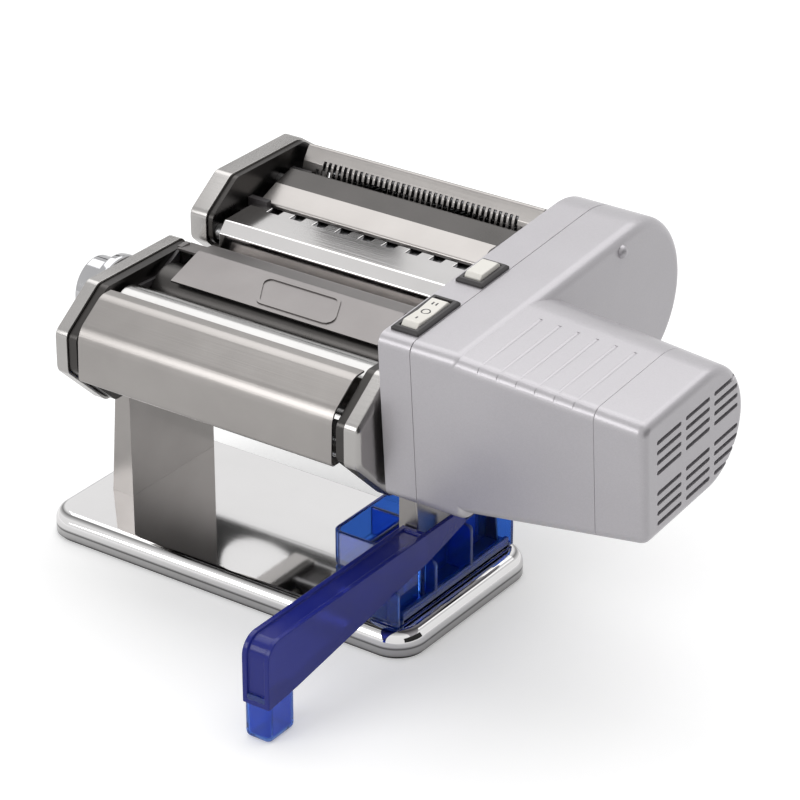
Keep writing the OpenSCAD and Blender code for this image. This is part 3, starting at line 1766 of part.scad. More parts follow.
module tray() {
  front_slot = leg_front_y - flange_slot;
  rib_y = (tongue_front_y + tongue_back_y) / 2;
  // Floors of the tongue, of the strip outside the leg's flanges, and in front of the leg
  box([tray_left_x, tongue_front_y, floor_z],
      [tray_right_x, tongue_back_y, floor_z + tray_wall]);
  box([flange_x, tray_front_y, floor_z], [tray_right_x, tray_back_y, floor_z + tray_wall]);
  box([clear_x, tray_front_y, floor_z], [tray_right_x, front_slot, floor_z + tray_wall]);
  // Long walls of the tongue, its end and its ribs
  for (y = [tongue_front_y, rib_y, tongue_back_y - tray_wall])
    wall_x(tray_left_x, tray_right_x, y, floor_z);
  for (x = [tray_left_x, tray_left_x + tongue_len / 2])
    box([x, tongue_front_y, floor_z], [x + tray_wall, tongue_back_y, tray_top_z]);
  // Pocket in front of the leg and wall behind it
  wall_x(clear_x, tray_right_x, tray_front_y, base_h + air);
  wall_x(clear_x, tray_right_x, (tray_front_y + front_slot) / 2, floor_z);
  box([clear_x, tray_front_y, floor_z], [clear_x + tray_wall, front_slot, tray_top_z]);
  wall_x(flange_x, tray_right_x, tray_back_y - tray_wall, base_h + air);
  // Low lip along the outer side
  box([tray_right_x - tray_wall, tray_front_y, base_h + air],
      [tray_right_x, tray_back_y, base_h + tray_lip_h]);
}

// Side view of the arm, drawn inside its outline by inset; the foot reaches the surface
function arm_outline(inset) =
  let (f = arm_front_y + inset,
       top = arm_top - inset)
  concat([[f, 0], [f, foot_h]],
         corner_arc([f, foot_h], [f, top], [arm_back_y, top], arm_nose_r - inset),
         [[arm_back_y, top], [arm_back_y, arm_low_back],
          [f + foot_d + foot_round, arm_low_front], [f + foot_d, foot_h], [f + foot_d, 0]]);

// Hollow of the arm and its foot, open along the underside
function arm_hollow() =
  let (f = arm_front_y + arm_recess + tray_wall,
       top = arm_top - arm_recess - tray_wall,
       back = arm_front_y + foot_d - tray_wall)
  [[f, tray_wall], [f, top - arm_nose_r], [f + arm_nose_r, top],
   [arm_back_y - tray_wall, top], [arm_back_y - tray_wall, floor_z],
   [back + 4 * tray_wall, floor_z - tray_wall], [back + 4 * tray_wall, arm_low_front + tray_wall],
   [back, foot_h + tray_wall], [back, tray_wall]];

module arm() {
  difference() {
    union() {
      for (x = [arm_left_x, arm_right_x - tray_wall])
        along_x(x, tray_wall)
          polygon(arm_outline(0));
      along_x(arm_left_x, arm_w)
        polygon(arm_outline(arm_recess));
    }
    along_x(arm_left_x + tray_wall, arm_w - 2 * tray_wall)
      polygon(arm_hollow());
  }
  // Outer plate, which passes the leg's flange and stands on the tray's floor
  along_x(arm_right_x - tray_wall, tray_wall)
    polygon([[arm_back_y - tray_wall, floor_z], [arm_back_y - tray_wall, arm_top],
             [leg_front_y + plate_tail - 2 * foot_round, arm_top],
             [leg_front_y + plate_tail, arm_top - 2 * foot_round],
             [leg_front_y + plate_tail, floor_z]]);
}

module stabiliser() {
  color(blue) {
    tray();
    arm();
  }
}

base_plate();
base_pad();
left_leg();
right_leg();
leg_screws();
left_side_plate();
right_side_plate();
left_cheek();
right_cheek();
front_cover();
guide_plate();
rear_cover();
tie_rods();
scrapers();
bushes();
side_guards();
carriage_blocks();
front_roller();
front_roller_gear();
rear_roller();
rear_roller_gear();
thickness_knob();
knob_camshaft();
cutter_left_cheek();
cutter_right_cheek();
cutter_plates();
cutter_front_cover();
cutter_divider();
cutter_rear_cover();
cutter_tie_rods();
cutter_guards();
wide_combs();
narrow_combs();
wide_cutter_front();
wide_cutter_rear();
narrow_cutter_front();
narrow_cutter_rear();
wide_front_gear();
wide_rear_gear();
narrow_front_gear();
narrow_rear_gear();
gear_case_inner();
gear_case_outer();
pod_end_cap();
gear_plate();
gear_pins();
rocker_bezel();
rocker_switch();
pulse_bezel();
pulse_button();
motor_stator();
motor_rotor();
cooling_fan();
reduction_gear();
roller_drive_gear();
idler_gear();
cutter_drive_gear();
case_screws();
cord_inlet();
stabiliser();
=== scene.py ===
# %% [markdown]
# # An electric pasta maker in a pale studio
# The machine arrives as a packed assembly of separate solids with true sizes. This script
# gives every solid its finish, rounds the edges that catch the light, and adds the small
# shapes that belong to the looks alone. It starts by loading the assembly.

# %% Load the assembly
import bpy
import json
import math
from mathutils import Matrix, Vector


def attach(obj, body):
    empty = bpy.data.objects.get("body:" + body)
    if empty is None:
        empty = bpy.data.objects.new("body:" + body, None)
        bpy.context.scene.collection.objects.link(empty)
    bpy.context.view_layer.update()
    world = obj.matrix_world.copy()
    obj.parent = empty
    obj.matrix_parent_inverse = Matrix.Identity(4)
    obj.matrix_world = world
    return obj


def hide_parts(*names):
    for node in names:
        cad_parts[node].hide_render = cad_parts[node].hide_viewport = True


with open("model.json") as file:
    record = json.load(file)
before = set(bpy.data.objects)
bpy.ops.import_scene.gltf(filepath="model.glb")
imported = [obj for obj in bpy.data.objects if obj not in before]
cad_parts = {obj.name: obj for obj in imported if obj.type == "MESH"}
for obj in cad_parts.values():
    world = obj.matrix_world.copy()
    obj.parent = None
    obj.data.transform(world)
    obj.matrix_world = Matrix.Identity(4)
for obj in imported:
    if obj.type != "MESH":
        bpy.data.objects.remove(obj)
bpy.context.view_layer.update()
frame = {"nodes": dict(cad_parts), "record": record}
MM = 0.001
nodes = frame["nodes"]

# %% [markdown]
# ## The camera
# A product photo is usually taken from far away with a long lens, so that parallel edges
# stay nearly parallel. The camera stands in front, to the right and above, and looks down
# at the machine by about 27 degrees.

# %% Camera
TURN = math.radians(35.14)
DIP = math.radians(27.27)
CAMERA_PLACE = (0.8151, -1.0680, 0.7702)
FOCAL_LENGTH = 151.5
SENSOR_WIDTH = 36
camera = bpy.data.objects.new("camera", bpy.data.cameras.new("camera"))
bpy.context.scene.collection.objects.link(camera)
camera.location = CAMERA_PLACE
camera.data.lens = FOCAL_LENGTH
camera.data.sensor_width = SENSOR_WIDTH
look = Vector((-math.sin(TURN) * math.cos(DIP), math.cos(TURN) * math.cos(DIP), -math.sin(DIP)))
camera.rotation_mode = "QUATERNION"
camera.rotation_quaternion = look.to_track_quat("-Z", "Y")
bpy.context.scene.camera = camera
print("camera:", FOCAL_LENGTH, "mm lens,", round(Vector(CAMERA_PLACE).length, 2), "m from the origin")

# %% [markdown]
# ## Shader maths as Python
# A finish is a small network of nodes. Written node by node it is hard to read, so a
# socket is wrapped in a class that understands + and * and turns them into Math nodes.
# One method adds every other node: its type, its settings, and what its sockets take.

# %% Sockets that can be calculated with
class Value:
    """One output socket, which Python's operators turn into Math nodes."""

    def __init__(self, finish, socket):
        self.finish = finish
        self.socket = socket

    def math(self, operation, other):
        return self.finish.add("ShaderNodeMath", {"operation": operation}, {0: self, 1: other})

    def __add__(self, other):
        return self.math("ADD", other)

    def __mul__(self, other):
        return self.math("MULTIPLY", other)

    def or_more(self, other):
        return self.math("MAXIMUM", other)


class Finish:
    """A material with one Principled shader; add() puts in any other node."""

    def __init__(self, name, **constants):
        self.material = bpy.data.materials.new(name)
        self.material.use_nodes = True
        self.tree = self.material.node_tree
        self.shader = self.tree.nodes["Principled BSDF"]
        for socket, value in constants.items():
            self.shader.inputs[socket.replace("_", " ")].default_value = value
        self.point = self.add("ShaderNodeTexCoord", {}, {}, "Object")

    def add(self, kind, settings, inputs, output=0):
        node = self.tree.nodes.new(kind)
        for key, value in settings.items():
            if key == "stops":
                self.set_stops(node.color_ramp, value)
            else:
                setattr(node, key, value)
        for key, value in inputs.items():
            if isinstance(value, Value):
                self.tree.links.new(value.socket, node.inputs[key])
            else:
                node.inputs[key].default_value = value
        return Value(self, node.outputs[output])

    def set_stops(self, ramp, stops):
        while len(ramp.elements) < len(stops):
            ramp.elements.new(1.0)
        for element, (place, shade) in zip(ramp.elements, stops):
            element.position = place
            element.color = (shade, shade, shade, 1)

    def feed(self, socket, value):
        self.tree.links.new(value.socket, self.shader.inputs[socket])

    def stretched(self, scale):
        """The point in object space, scaled for a pattern."""
        return self.add("ShaderNodeMapping", {}, {"Vector": self.point, "Scale": scale})

    def noise(self, scale, detail=3.0, vector=None):
        return self.add("ShaderNodeTexNoise", {},
                        {"Vector": vector or self.point, "Scale": scale, "Detail": detail})

    def between(self, value, low, high):
        """Maps a value from 0..1 to low..high and clamps it."""
        return self.add("ShaderNodeMapRange", {}, {"Value": value, "To Min": low, "To Max": high})

    def mixed(self, blend, share, first, second):
        """A Mix node for colours: socket 0 is the share, sockets 6 and 7 are the colours."""
        return self.add("ShaderNodeMix", {"data_type": "RGBA", "blend_type": blend},
                        {0: share, 6: first, 7: second}, 2)

    def tint(self, share, first, second):
        """A colour between two colours."""
        return self.mixed("MIX", share, (*first, 1), (*second, 1))

    def bump(self, height, depth):
        """Raises the surface by a height from 0..1 times a depth in metres."""
        inputs = {"Height": height, "Distance": depth, "Strength": 1.0}
        self.feed("Normal", self.add("ShaderNodeBump", {}, inputs))


finishes = {}

# %% [markdown]
# ## Metals
# The base is polished until it mirrors, the covers are plated sheet with a softer shine,
# and turned parts keep fine tool marks. A metal's colour is its reflection colour, so the
# base colour is a warm grey and the look comes from roughness. Real sheet is never even:
# wide, faint smudges change the roughness, and rolling leaves very fine lines along it.
# The polished steel also carries painted reflection: light and dark stripes over its lowest 13 mm stand in
# for the table and the shadow on it, mirrored in the base's rolled rim.

# %% Metal finishes
SMUDGE_SCALE = 38.0
WIPE_SCALE = (14.0, 90.0, 90.0)
ROLLING_SCALE_X = 12.0
TOOL_MARK_SCALE = (2600.0, 60.0, 60.0)
TOOL_MARK_DEPTH = 0.00003
CLOUD_SCALE = 55.0
RIM_HEIGHT = 13 * MM
# Painted reflection: light and dark stripes up the base's rim, where it would mirror the table and the shadow
# on it.
PAINTED_RIM_REFLECTION = ((0.10, 0.10), (0.20, 0.50), (0.36, 0.60), (0.42, 0.12), (0.50, 0.90), (0.86, 1.0),
             (0.95, 0.22), (0.985, 1.0))


def sheet_metal(name, dark, light, smooth, rough, lines, line_depth, rim=()):
    """Plated sheet: smudges in the roughness and fine rolling lines along X.

    The stripes given as rim are painted reflection: they darken the lowest 13 mm, where the base's rolled rim
    mirrors the table and the shadow on it.
    """
    finish = Finish(name, Metallic=1.0)
    smudge = finish.noise(SMUDGE_SCALE, 4.0)
    wipe = finish.noise(1.0, 2.0, finish.stretched(WIPE_SCALE))
    tone = finish.tint(smudge, dark, light)
    # The rim stripes paint a reflection into the colour.
    if rim:
        height = finish.add("ShaderNodeSeparateXYZ", {}, {0: finish.point}, "Z") * (1 / RIM_HEIGHT)
        painted_reflection_stripes = finish.add("ShaderNodeValToRGB", {"stops": rim}, {0: height})
        tone = finish.mixed("MULTIPLY", 1.0, tone, painted_reflection_stripes)
    finish.feed("Base Color", tone)
    finish.feed("Roughness", finish.between(smudge * 0.6 + wipe * 0.4, smooth, rough))
    grain = finish.noise(1.0, 2.0, finish.stretched((ROLLING_SCALE_X, lines, lines)))
    finish.bump(grain, line_depth)
    finishes[name] = finish


def turned_metal(name, dark, light, smooth, rough):
    """Machined steel: fine rings of tool marks round the X axis."""
    finish = Finish(name, Metallic=1.0)
    marks = finish.noise(1.0, 2.0, finish.stretched(TOOL_MARK_SCALE))
    cloud = finish.noise(CLOUD_SCALE, 3.0)
    finish.feed("Base Color", finish.tint(cloud, dark, light))
    finish.feed("Roughness", finish.between(marks * 0.5 + cloud * 0.5, smooth, rough))
    finish.bump(marks, TOOL_MARK_DEPTH)
    finishes[name] = finish


sheet_metal("polished_steel", (0.80, 0.79, 0.79), (0.86, 0.85, 0.85), 0.02, 0.06, 500.0, 0.000002, PAINTED_RIM_REFLECTION)
sheet_metal("nickel_sheet", (0.29, 0.275, 0.265), (0.37, 0.352, 0.34), 0.24, 0.36, 1300.0, 0.000030)
sheet_metal("brushed_sheet", (0.16, 0.150, 0.148), (0.23, 0.218, 0.215), 0.28, 0.42, 1300.0, 0.000030)
sheet_metal("mirror_sheet", (0.66, 0.645, 0.64), (0.74, 0.725, 0.72), 0.08, 0.16, 900.0, 0.000010)
sheet_metal("chrome", (0.42, 0.42, 0.43), (0.50, 0.50, 0.51), 0.04, 0.10, 500.0, 0.000002)
sheet_metal("bright_cheek", (0.38, 0.37, 0.36), (0.46, 0.445, 0.435), 0.18, 0.30, 900.0, 0.000018)
# Painted shade: a near-black copy of the sheet steel, for faces that lie in shade and mirror dark neighbours.
sheet_metal("painted_shade_steel", (0.050, 0.048, 0.046), (0.085, 0.080, 0.078), 0.22, 0.36, 700.0, 0.000018)
turned_metal("roller_steel", (0.36, 0.355, 0.35), (0.42, 0.415, 0.41), 0.10, 0.20)
turned_metal("machined_steel", (0.24, 0.24, 0.245), (0.34, 0.34, 0.345), 0.22, 0.38)
turned_metal("copper_winding", (0.50, 0.22, 0.10), (0.66, 0.33, 0.16), 0.30, 0.45)
print("metal finishes:", sorted(finishes))

# %% [markdown]
# ## Plastics
# The motor housing is lacquered silver: the lacquer holds flakes, which glitter faintly and
# make the colour slide from light to dark as the surface turns. Moulded black and cream
# plastics carry the fine grain of their mould. The stabiliser is clear blue plastic, bright
# where light passes one wall and deep where it passes several.

# %% Plastic finishes
FLAKE_SCALE = 2400.0
HAZE_SCALE = 25.0
ORANGE_PEEL_SCALE = 900.0
ORANGE_PEEL_DEPTH = 0.000012
PATCH_SCALE = 30.0


def lacquer(name, dark, light):
    """Silver lacquer over plastic, with fine flakes under a clear coat."""
    finish = Finish(name, Metallic=0.5, Coat_Weight=0.35, Coat_Roughness=0.18)
    flakes = finish.add("ShaderNodeTexVoronoi", {}, {"Vector": finish.point, "Scale": FLAKE_SCALE}, "Color")
    glint = finish.add("ShaderNodeSeparateColor", {}, {"Color": flakes})
    haze = finish.noise(HAZE_SCALE, 3.0)
    finish.feed("Base Color", finish.tint(glint * 0.35 + haze * 0.65, dark, light))
    finish.feed("Roughness", finish.between(glint * 0.5 + haze * 0.5, 0.33, 0.44))
    finish.bump(finish.noise(ORANGE_PEEL_SCALE, 2.0), ORANGE_PEEL_DEPTH)
    finishes[name] = finish


def moulded(name, dark, light, smooth, rough, grain, depth, **constants):
    """Moulded plastic or rubber with the grain of its mould."""
    finish = Finish(name, **constants)
    patch = finish.noise(PATCH_SCALE, 3.0)
    texture = finish.noise(grain, 2.0)
    finish.feed("Base Color", finish.tint(patch, dark, light))
    finish.feed("Roughness", finish.between(texture * 0.5 + patch * 0.5, smooth, rough))
    finish.bump(texture, depth)
    finishes[name] = finish


lacquer("silver_plastic", (0.385, 0.37, 0.39), (0.465, 0.45, 0.47))
moulded("black_plastic", (0.022, 0.020, 0.021), (0.035, 0.031, 0.033), 0.40, 0.55, 1500.0, 0.00004)
moulded("cream_plastic", (0.70, 0.68, 0.63), (0.76, 0.74, 0.69), 0.28, 0.38, 1200.0, 0.000015)
moulded("nylon", (0.66, 0.64, 0.58), (0.74, 0.72, 0.66), 0.35, 0.5, 900.0, 0.00002)
moulded("rubber_pad", (0.018, 0.018, 0.018), (0.03, 0.03, 0.03), 0.6, 0.8, 1300.0, 0.00006)
moulded("blue_plastic", (0.04, 0.15, 0.66), (0.06, 0.20, 0.72), 0.06, 0.12, 700.0, 0.00001,
        Transmission_Weight=0.88, IOR=1.46)
moulded("deep_blue", (0.018, 0.026, 0.27), (0.026, 0.038, 0.33), 0.12, 0.20, 700.0, 0.00001,
        Transmission_Weight=0.45, IOR=1.46, Specular_IOR_Level=0.15)
moulded("mark_ink", (0.02, 0.02, 0.022), (0.03, 0.03, 0.032), 0.4, 0.5, 900.0, 0.00001)
print("all finishes:", sorted(finishes))

# %% [markdown]
# ## Every solid gets its finish
# The record names a material slot for every solid. The finishes above carry the same names,
# so one loop dresses them all.

# %% Finish the solids
slot_of = {part["node"]: part["material_slot"] for part in frame["record"]["subparts"]}
for name, solid in nodes.items():
    solid.data.materials.clear()
    solid.data.materials.append(finishes[slot_of[name]].material)
print("solids with a finish:", len(slot_of))

# %% [markdown]
# ## Rounding the edges
# No real edge is perfectly sharp: pressed sheet, moulded plastic and turned steel all have
# a small radius, and that radius draws the bright lines which make an object look solid.
# A solid's own mesh stays as it is. A copy is welded, its flat faces are cleaned of their
# triangles, and a bevel rounds its edges; the copy then stands for the solid. Curved faces
# are shaded smooth, and edges over the given angle stay sharp.

# %% Helpers for modelling
EDGE_ANGLE = 30.0
WELD = 0.002
FLAT_ANGLE = 0.4
body_of = {node: body for body, members in frame["record"]["behaviour"]["bodies"].items() for node in members}


def deselect_all():
    bpy.ops.object.select_all(action="DESELECT")


def activate(piece):
    deselect_all()
    piece.select_set(True)
    bpy.context.view_layer.objects.active = piece


def edit_whole(piece):
    """Enters edit mode with everything selected."""
    activate(piece)
    bpy.ops.object.mode_set(mode="EDIT")
    bpy.ops.mesh.select_all(action="SELECT")


def finish_piece(piece, body, slot, *stands_for, look=None):
    """Gives a new piece its material, its body and the solids that it stands for."""
    piece.data.materials.clear()
    piece.data.materials.append(finishes[look or slot].material)
    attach(piece, body)
    if stands_for:
        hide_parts(*stands_for)
    return piece


def round_edges(piece, width=0.0, segments=2, angle=EDGE_ANGLE):
    """Bevels every edge sharper than the angle, if there is a width, and shades the rest smooth."""
    activate(piece)
    if width > 0:
        bevel = piece.modifiers.new("round", "BEVEL")
        bevel.width = width * MM
        bevel.segments = segments
        bevel.limit_method = "ANGLE"
        bevel.angle_limit = math.radians(angle)
        bevel.harden_normals = False
        bpy.ops.object.modifier_apply(modifier=bevel.name)
    bpy.ops.object.shade_smooth_by_angle(angle=math.radians(angle))
    even = piece.modifiers.new("even", "WEIGHTED_NORMAL")
    even.keep_sharp = True
    even.weight = 80
    bpy.ops.object.modifier_apply(modifier=even.name)


def dress(node, width, segments=2, reshape=None, look=None):
    """A welded copy of a solid with rounded edges, which stands for the solid."""
    piece = bpy.data.objects.new(node + "_shape", nodes[node].data.copy())
    bpy.context.scene.collection.objects.link(piece)
    edit_whole(piece)
    bpy.ops.mesh.remove_doubles(threshold=WELD * MM)
    bpy.ops.mesh.dissolve_limited(angle_limit=math.radians(FLAT_ANGLE))
    bpy.ops.object.mode_set(mode="OBJECT")
    if reshape:
        reshape(piece)
    round_edges(piece, width, segments)
    return finish_piece(piece, body_of[node], slot_of[node], node, look=look)


# %% [markdown]
# ## A small workshop
# Every shape below is made with the same few tools: a block between two corners, a fillet
# along chosen edges, a move of chosen points, a cut and a join. Edges and points are chosen
# by a test on their place in millimetres, so that the code says where they are. The motor
# unit leans forward a little, so its pieces are built upright and then put into place.

# %% Modelling tools
UNIT_PLACE = Vector((102.0, -48.507, 154.418)) * MM
UNIT_TILT = math.radians(4.35)
UNIT = Matrix.Translation(UNIT_PLACE) @ Matrix.Rotation(UNIT_TILT, 4, "X")
FILLET_WELD = 0.005
NEAR = 0.1
ON_LINE = 0.01


def block(name, low, high):
    """A box between two corners in millimetres."""
    size = [(b - a) * MM for a, b in zip(low, high)]
    middle = [(a + b) / 2 * MM for a, b in zip(low, high)]
    bpy.ops.mesh.primitive_cube_add(size=1, location=middle, scale=size)
    piece = bpy.context.active_object
    piece.name = name
    bpy.ops.object.transform_apply(location=True, rotation=False, scale=True)
    return piece


def into_place(piece):
    """Moves a piece that was built in the motor unit's own frame to its place in the machine."""
    piece.matrix_world = UNIT @ piece.matrix_world
    activate(piece)
    bpy.ops.object.transform_apply(location=True, rotation=True, scale=True)


def unmark(piece, kind):
    """Leaves nothing selected, so that vertices, edges or faces can be marked one by one."""
    activate(piece)
    bpy.ops.object.mode_set(mode="EDIT")
    bpy.ops.mesh.select_mode(type=kind)
    bpy.ops.mesh.select_all(action="DESELECT")
    bpy.ops.object.mode_set(mode="OBJECT")


def select_edges(piece, test):
    """Enters edit mode with the edges selected whose two ends pass the test."""
    unmark(piece, "EDGE")
    mesh = piece.data
    for edge in mesh.edges:
        first, second = (mesh.vertices[i].co / MM for i in edge.vertices)
        edge.select = bool(test(first, second))
    bpy.ops.object.mode_set(mode="EDIT")


def select_points(piece, test):
    """Enters edit mode with the vertices selected that pass the test."""
    unmark(piece, "VERT")
    for vertex in piece.data.vertices:
        vertex.select = bool(test(vertex.co / MM))
    bpy.ops.object.mode_set(mode="EDIT")


def select_faces(piece, test):
    """Enters edit mode with the faces selected whose normals pass the test."""
    unmark(piece, "FACE")
    for face in piece.data.polygons:
        face.select = bool(test(face.normal))
    bpy.ops.object.mode_set(mode="EDIT")


def fillet(piece, test, width, segments):
    """Rounds the edges that pass the test."""
    select_edges(piece, test)
    bpy.ops.mesh.bevel(offset=width * MM, segments=segments, affect="EDGES", clamp_overlap=False)
    bpy.ops.mesh.select_all(action="SELECT")
    bpy.ops.mesh.remove_doubles(threshold=FILLET_WELD * MM)
    bpy.ops.object.mode_set(mode="OBJECT")


def move_points(piece, test, offset):
    """Moves the vertices that pass the test."""
    select_points(piece, test)
    bpy.ops.transform.translate(value=[v * MM for v in offset])
    bpy.ops.object.mode_set(mode="OBJECT")


def cut(piece, cutter):
    """Takes the cutter's shape out of a piece."""
    activate(piece)
    change = piece.modifiers.new("cut", "BOOLEAN")
    change.operation = "DIFFERENCE"
    change.object = cutter
    change.solver = "EXACT"
    bpy.ops.object.modifier_apply(modifier=change.name)
    bpy.data.objects.remove(cutter)


def join(pieces, name):
    """Makes one object of several."""
    deselect_all()
    for piece in pieces:
        piece.select_set(True)
    bpy.context.view_layer.objects.active = pieces[0]
    bpy.ops.object.join()
    pieces[0].name = name
    return pieces[0]


def duplicate(piece, name):
    """A copy of a piece with a mesh of its own."""
    copy = piece.copy()
    copy.data = piece.data.copy()
    copy.name = name
    bpy.context.scene.collection.objects.link(copy)
    return copy


# %% [markdown]
# ## Sheet metal
# Sheared sheet has the smallest radius of all the machine's edges. The comb of the rear
# throat gets deeper notches, and faces that lie in shade and mirror dark neighbours get painted shade: a
# near-black copy of the steel.
# Each cheek of the heads is a pressed cap in front of a plate: its inner face is drawn
# inwards to close the gap between them, and its outer rim becomes round, but not the edge
# of the hole that a shaft passes through.

# %% Sheet metal
SHEET_EDGE = 0.22
FINE_EDGE = 0.15
PLATE_EDGE = 0.35
CHEEK_EDGE = 0.3
DIVIDER_RIDGE_Y = 83.2
COMB_REACH = 54
COMB_PITCH = 3
NOTCH_HALF = 0.8
for node in ["left_leg", "right_leg", "rear_cover"]:
    dress(node, SHEET_EDGE)
dress("cutter_front_cover", SHEET_EDGE, look="mirror_sheet")
divider = dress("cutter_divider", SHEET_EDGE)
# Painted shade: the divider's faces behind its ridge get the near-black steel.
divider.data.materials.append(finishes["painted_shade_steel"].material)
for face in divider.data.polygons:
    face.material_index = 1 if face.center.y > DIVIDER_RIDGE_Y * MM else 0
dress("guide_plate", SHEET_EDGE, look="brushed_sheet")


def comb_notches(piece):
    """Deepens the fine notches of the rear throat's comb."""
    notches = [block("notch", (x - NOTCH_HALF, 100, 133), (x + NOTCH_HALF, 109, 143.6))
               for x in range(-COMB_REACH, COMB_REACH + COMB_PITCH, COMB_PITCH)]
    cut(piece, join(notches, "notches"))


dress("cutter_rear_cover", FINE_EDGE, reshape=comb_notches)
# Painted shade: the side plates and the cutter's plates, whose inner faces lie in shade, get the near-black
# steel.
for node in ["left_side_plate", "right_side_plate", "cutter_plates"]:
    dress(node, PLATE_EDGE, look="painted_shade_steel")
dress("base_plate", FINE_EDGE)

CHEEK_OUTER_X = 83.6
ROLLER_CHEEK_INNER_X = 76.8
CUTTER_CHEEK_INNER_X = 74.0
CHEEK_GAP = 1.0
CHEEK_FILLET = 1.5
HOLE_REACH = 15
KNOB_AXIS = (-10.0, 111.5)
ROLLER_SOCKET = (4.3, 111.5)
CUTTER_SOCKET = (76.75, 123.0)


def fatten_cheek(inner_x, hole):
    """Makes the function that closes a cheek's gap and rounds its outer rim, but not its hole."""
    def rim(p):
        outside = abs(p.x) > CHEEK_OUTER_X - NEAR
        return outside and math.hypot(p.y - hole[0], p.z - hole[1]) > HOLE_REACH

    def reshape(piece):
        side = 1 if piece.data.vertices[0].co.x > 0 else -1
        move_points(piece, lambda p: abs(p.x) < inner_x + NEAR, (-side * CHEEK_GAP, 0, 0))
        fillet(piece, lambda a, b: rim(a) and rim(b), CHEEK_FILLET, 5)
    return reshape


dress("left_cheek", CHEEK_EDGE, reshape=fatten_cheek(ROLLER_CHEEK_INNER_X, KNOB_AXIS))
dress("right_cheek", CHEEK_EDGE, reshape=fatten_cheek(ROLLER_CHEEK_INNER_X, ROLLER_SOCKET))
for node in ["cutter_left_cheek", "cutter_right_cheek"]:
    dress(node, CHEEK_EDGE, reshape=fatten_cheek(CUTTER_CHEEK_INNER_X, CUTTER_SOCKET))
print("notches in the comb:", 2 * COMB_REACH // COMB_PITCH + 1)

# %% [markdown]
# ## The front cover
# The front cover is one folded sheet. A flat strip is drawn out along a path of points, each
# inner point becomes a soft bend, and only then does the sheet get its thickness, so that
# every bend stays concentric.

# %% Folded front cover
FOLD_SEGMENTS = 10
COVER_HALF = 69.5
COVER_THICKNESS = 1.0
COVER_PATH = [(-34.8, 126.6), (-41.4, 126.6), (-57.6, 115.1), (-58.4, 92.2), (-51.4, 92.2)]
COVER_FOLDS = (2.2, 4.6, 1.5)


def on_line(point, y, z):
    """Whether a point lies on the line along X through (y, z)."""
    return math.hypot(point.y - y, point.z - z) < ON_LINE


def folded_sheet(name, path, half_width, thickness, folds):
    """A sheet along X that follows (Y, Z) points, with a bend width for each inner point."""
    (y0, z0), (y1, z1) = path[0], path[1]
    length = math.hypot(y1 - y0, z1 - z0)
    bpy.ops.mesh.primitive_plane_add(size=1, location=(0, (y0 + y1) / 2 * MM, (z0 + z1) / 2 * MM),
                                     rotation=(math.atan2(z1 - z0, y1 - y0), 0, 0))
    piece = bpy.context.active_object
    piece.name = name
    piece.scale = (2 * half_width * MM, length * MM, 1)
    bpy.ops.object.transform_apply(location=True, rotation=True, scale=True)
    select_edges(piece, lambda a, b: on_line(a, y1, z1) and on_line(b, y1, z1))
    for (ya, za), (yb, zb) in zip(path[1:], path[2:]):
        bpy.ops.mesh.extrude_edges_move(TRANSFORM_OT_translate={"value": (0, (yb - ya) * MM, (zb - za) * MM)})
    bpy.ops.object.mode_set(mode="OBJECT")
    for (y, z), width in zip(path[1:-1], folds):
        fillet(piece, lambda a, b: on_line(a, y, z) and on_line(b, y, z), width, FOLD_SEGMENTS)
    activate(piece)
    thicken = piece.modifiers.new("thicken", "SOLIDIFY")
    thicken.thickness = thickness * MM
    thicken.offset = -1
    thicken.use_even_offset = True
    bpy.ops.object.modifier_apply(modifier=thicken.name)
    return piece


front = folded_sheet("front_cover_sheet", COVER_PATH, COVER_HALF, COVER_THICKNESS, COVER_FOLDS)
round_edges(front, 0.2, angle=50)
finish_piece(front, "frame", "nickel_sheet", "front_cover")
print("front cover:", len(front.data.polygons), "faces")

# %% [markdown]
# ## Turned and moulded pieces
# Rollers, shafts and screws come from a lathe, which leaves a small chamfer, and moulded
# pieces have a slightly larger radius. The cutter rollers keep their sharp rings, because
# those edges do the cutting.

# %% Turned and moulded pieces
TURNED_EDGE = 0.2
MOULDED_EDGE = 0.3
for node in ["front_roller", "tie_rods", "cutter_tie_rods", "bushes", "leg_screws",
             "case_screws", "knob_camshaft", "cord_inlet", "motor_stator"]:
    dress(node, TURNED_EDGE)
# Painted shade: the rear roller lies in shadow under the guide plate and gets the near-black steel.
dress("rear_roller", TURNED_EDGE, look="painted_shade_steel")
for node in ["side_guards", "cutter_guards", "carriage_blocks", "base_pad", "cooling_fan"]:
    dress(node, MOULDED_EDGE)
for node in ["wide_cutter_front", "wide_cutter_rear", "narrow_cutter_front", "narrow_cutter_rear"]:
    dress(node, 0.0)

# %% [markdown]
# ## The thickness knob
# The knob starts as a disc. Its outer face is inset and drawn out to make the grip, and then
# inset and pushed back in to hollow the grip's end.

# %% Thickness knob
KNOB_X = -86.4
DISC_RADIUS = 18.5
DISC_THICKNESS = 5
GRIP_STEP = 3.5
GRIP_LENGTH = 11
GRIP_WALL = 4
GRIP_HOLLOW = 6
bpy.ops.mesh.primitive_cylinder_add(vertices=96, radius=DISC_RADIUS * MM, depth=DISC_THICKNESS * MM,
                                    rotation=(0, math.radians(90), 0),
                                    location=(KNOB_X * MM, KNOB_AXIS[0] * MM, KNOB_AXIS[1] * MM))
knob = bpy.context.active_object
knob.name = "knob_grip"
bpy.ops.object.transform_apply(location=True, rotation=True)
select_points(knob, lambda p: p.x < KNOB_X - DISC_THICKNESS / 2 + NEAR)
bpy.ops.mesh.select_mode(type="FACE")
bpy.ops.mesh.inset(thickness=GRIP_STEP * MM)
bpy.ops.mesh.extrude_region_move(TRANSFORM_OT_translate={"value": (-GRIP_LENGTH * MM, 0, 0)})
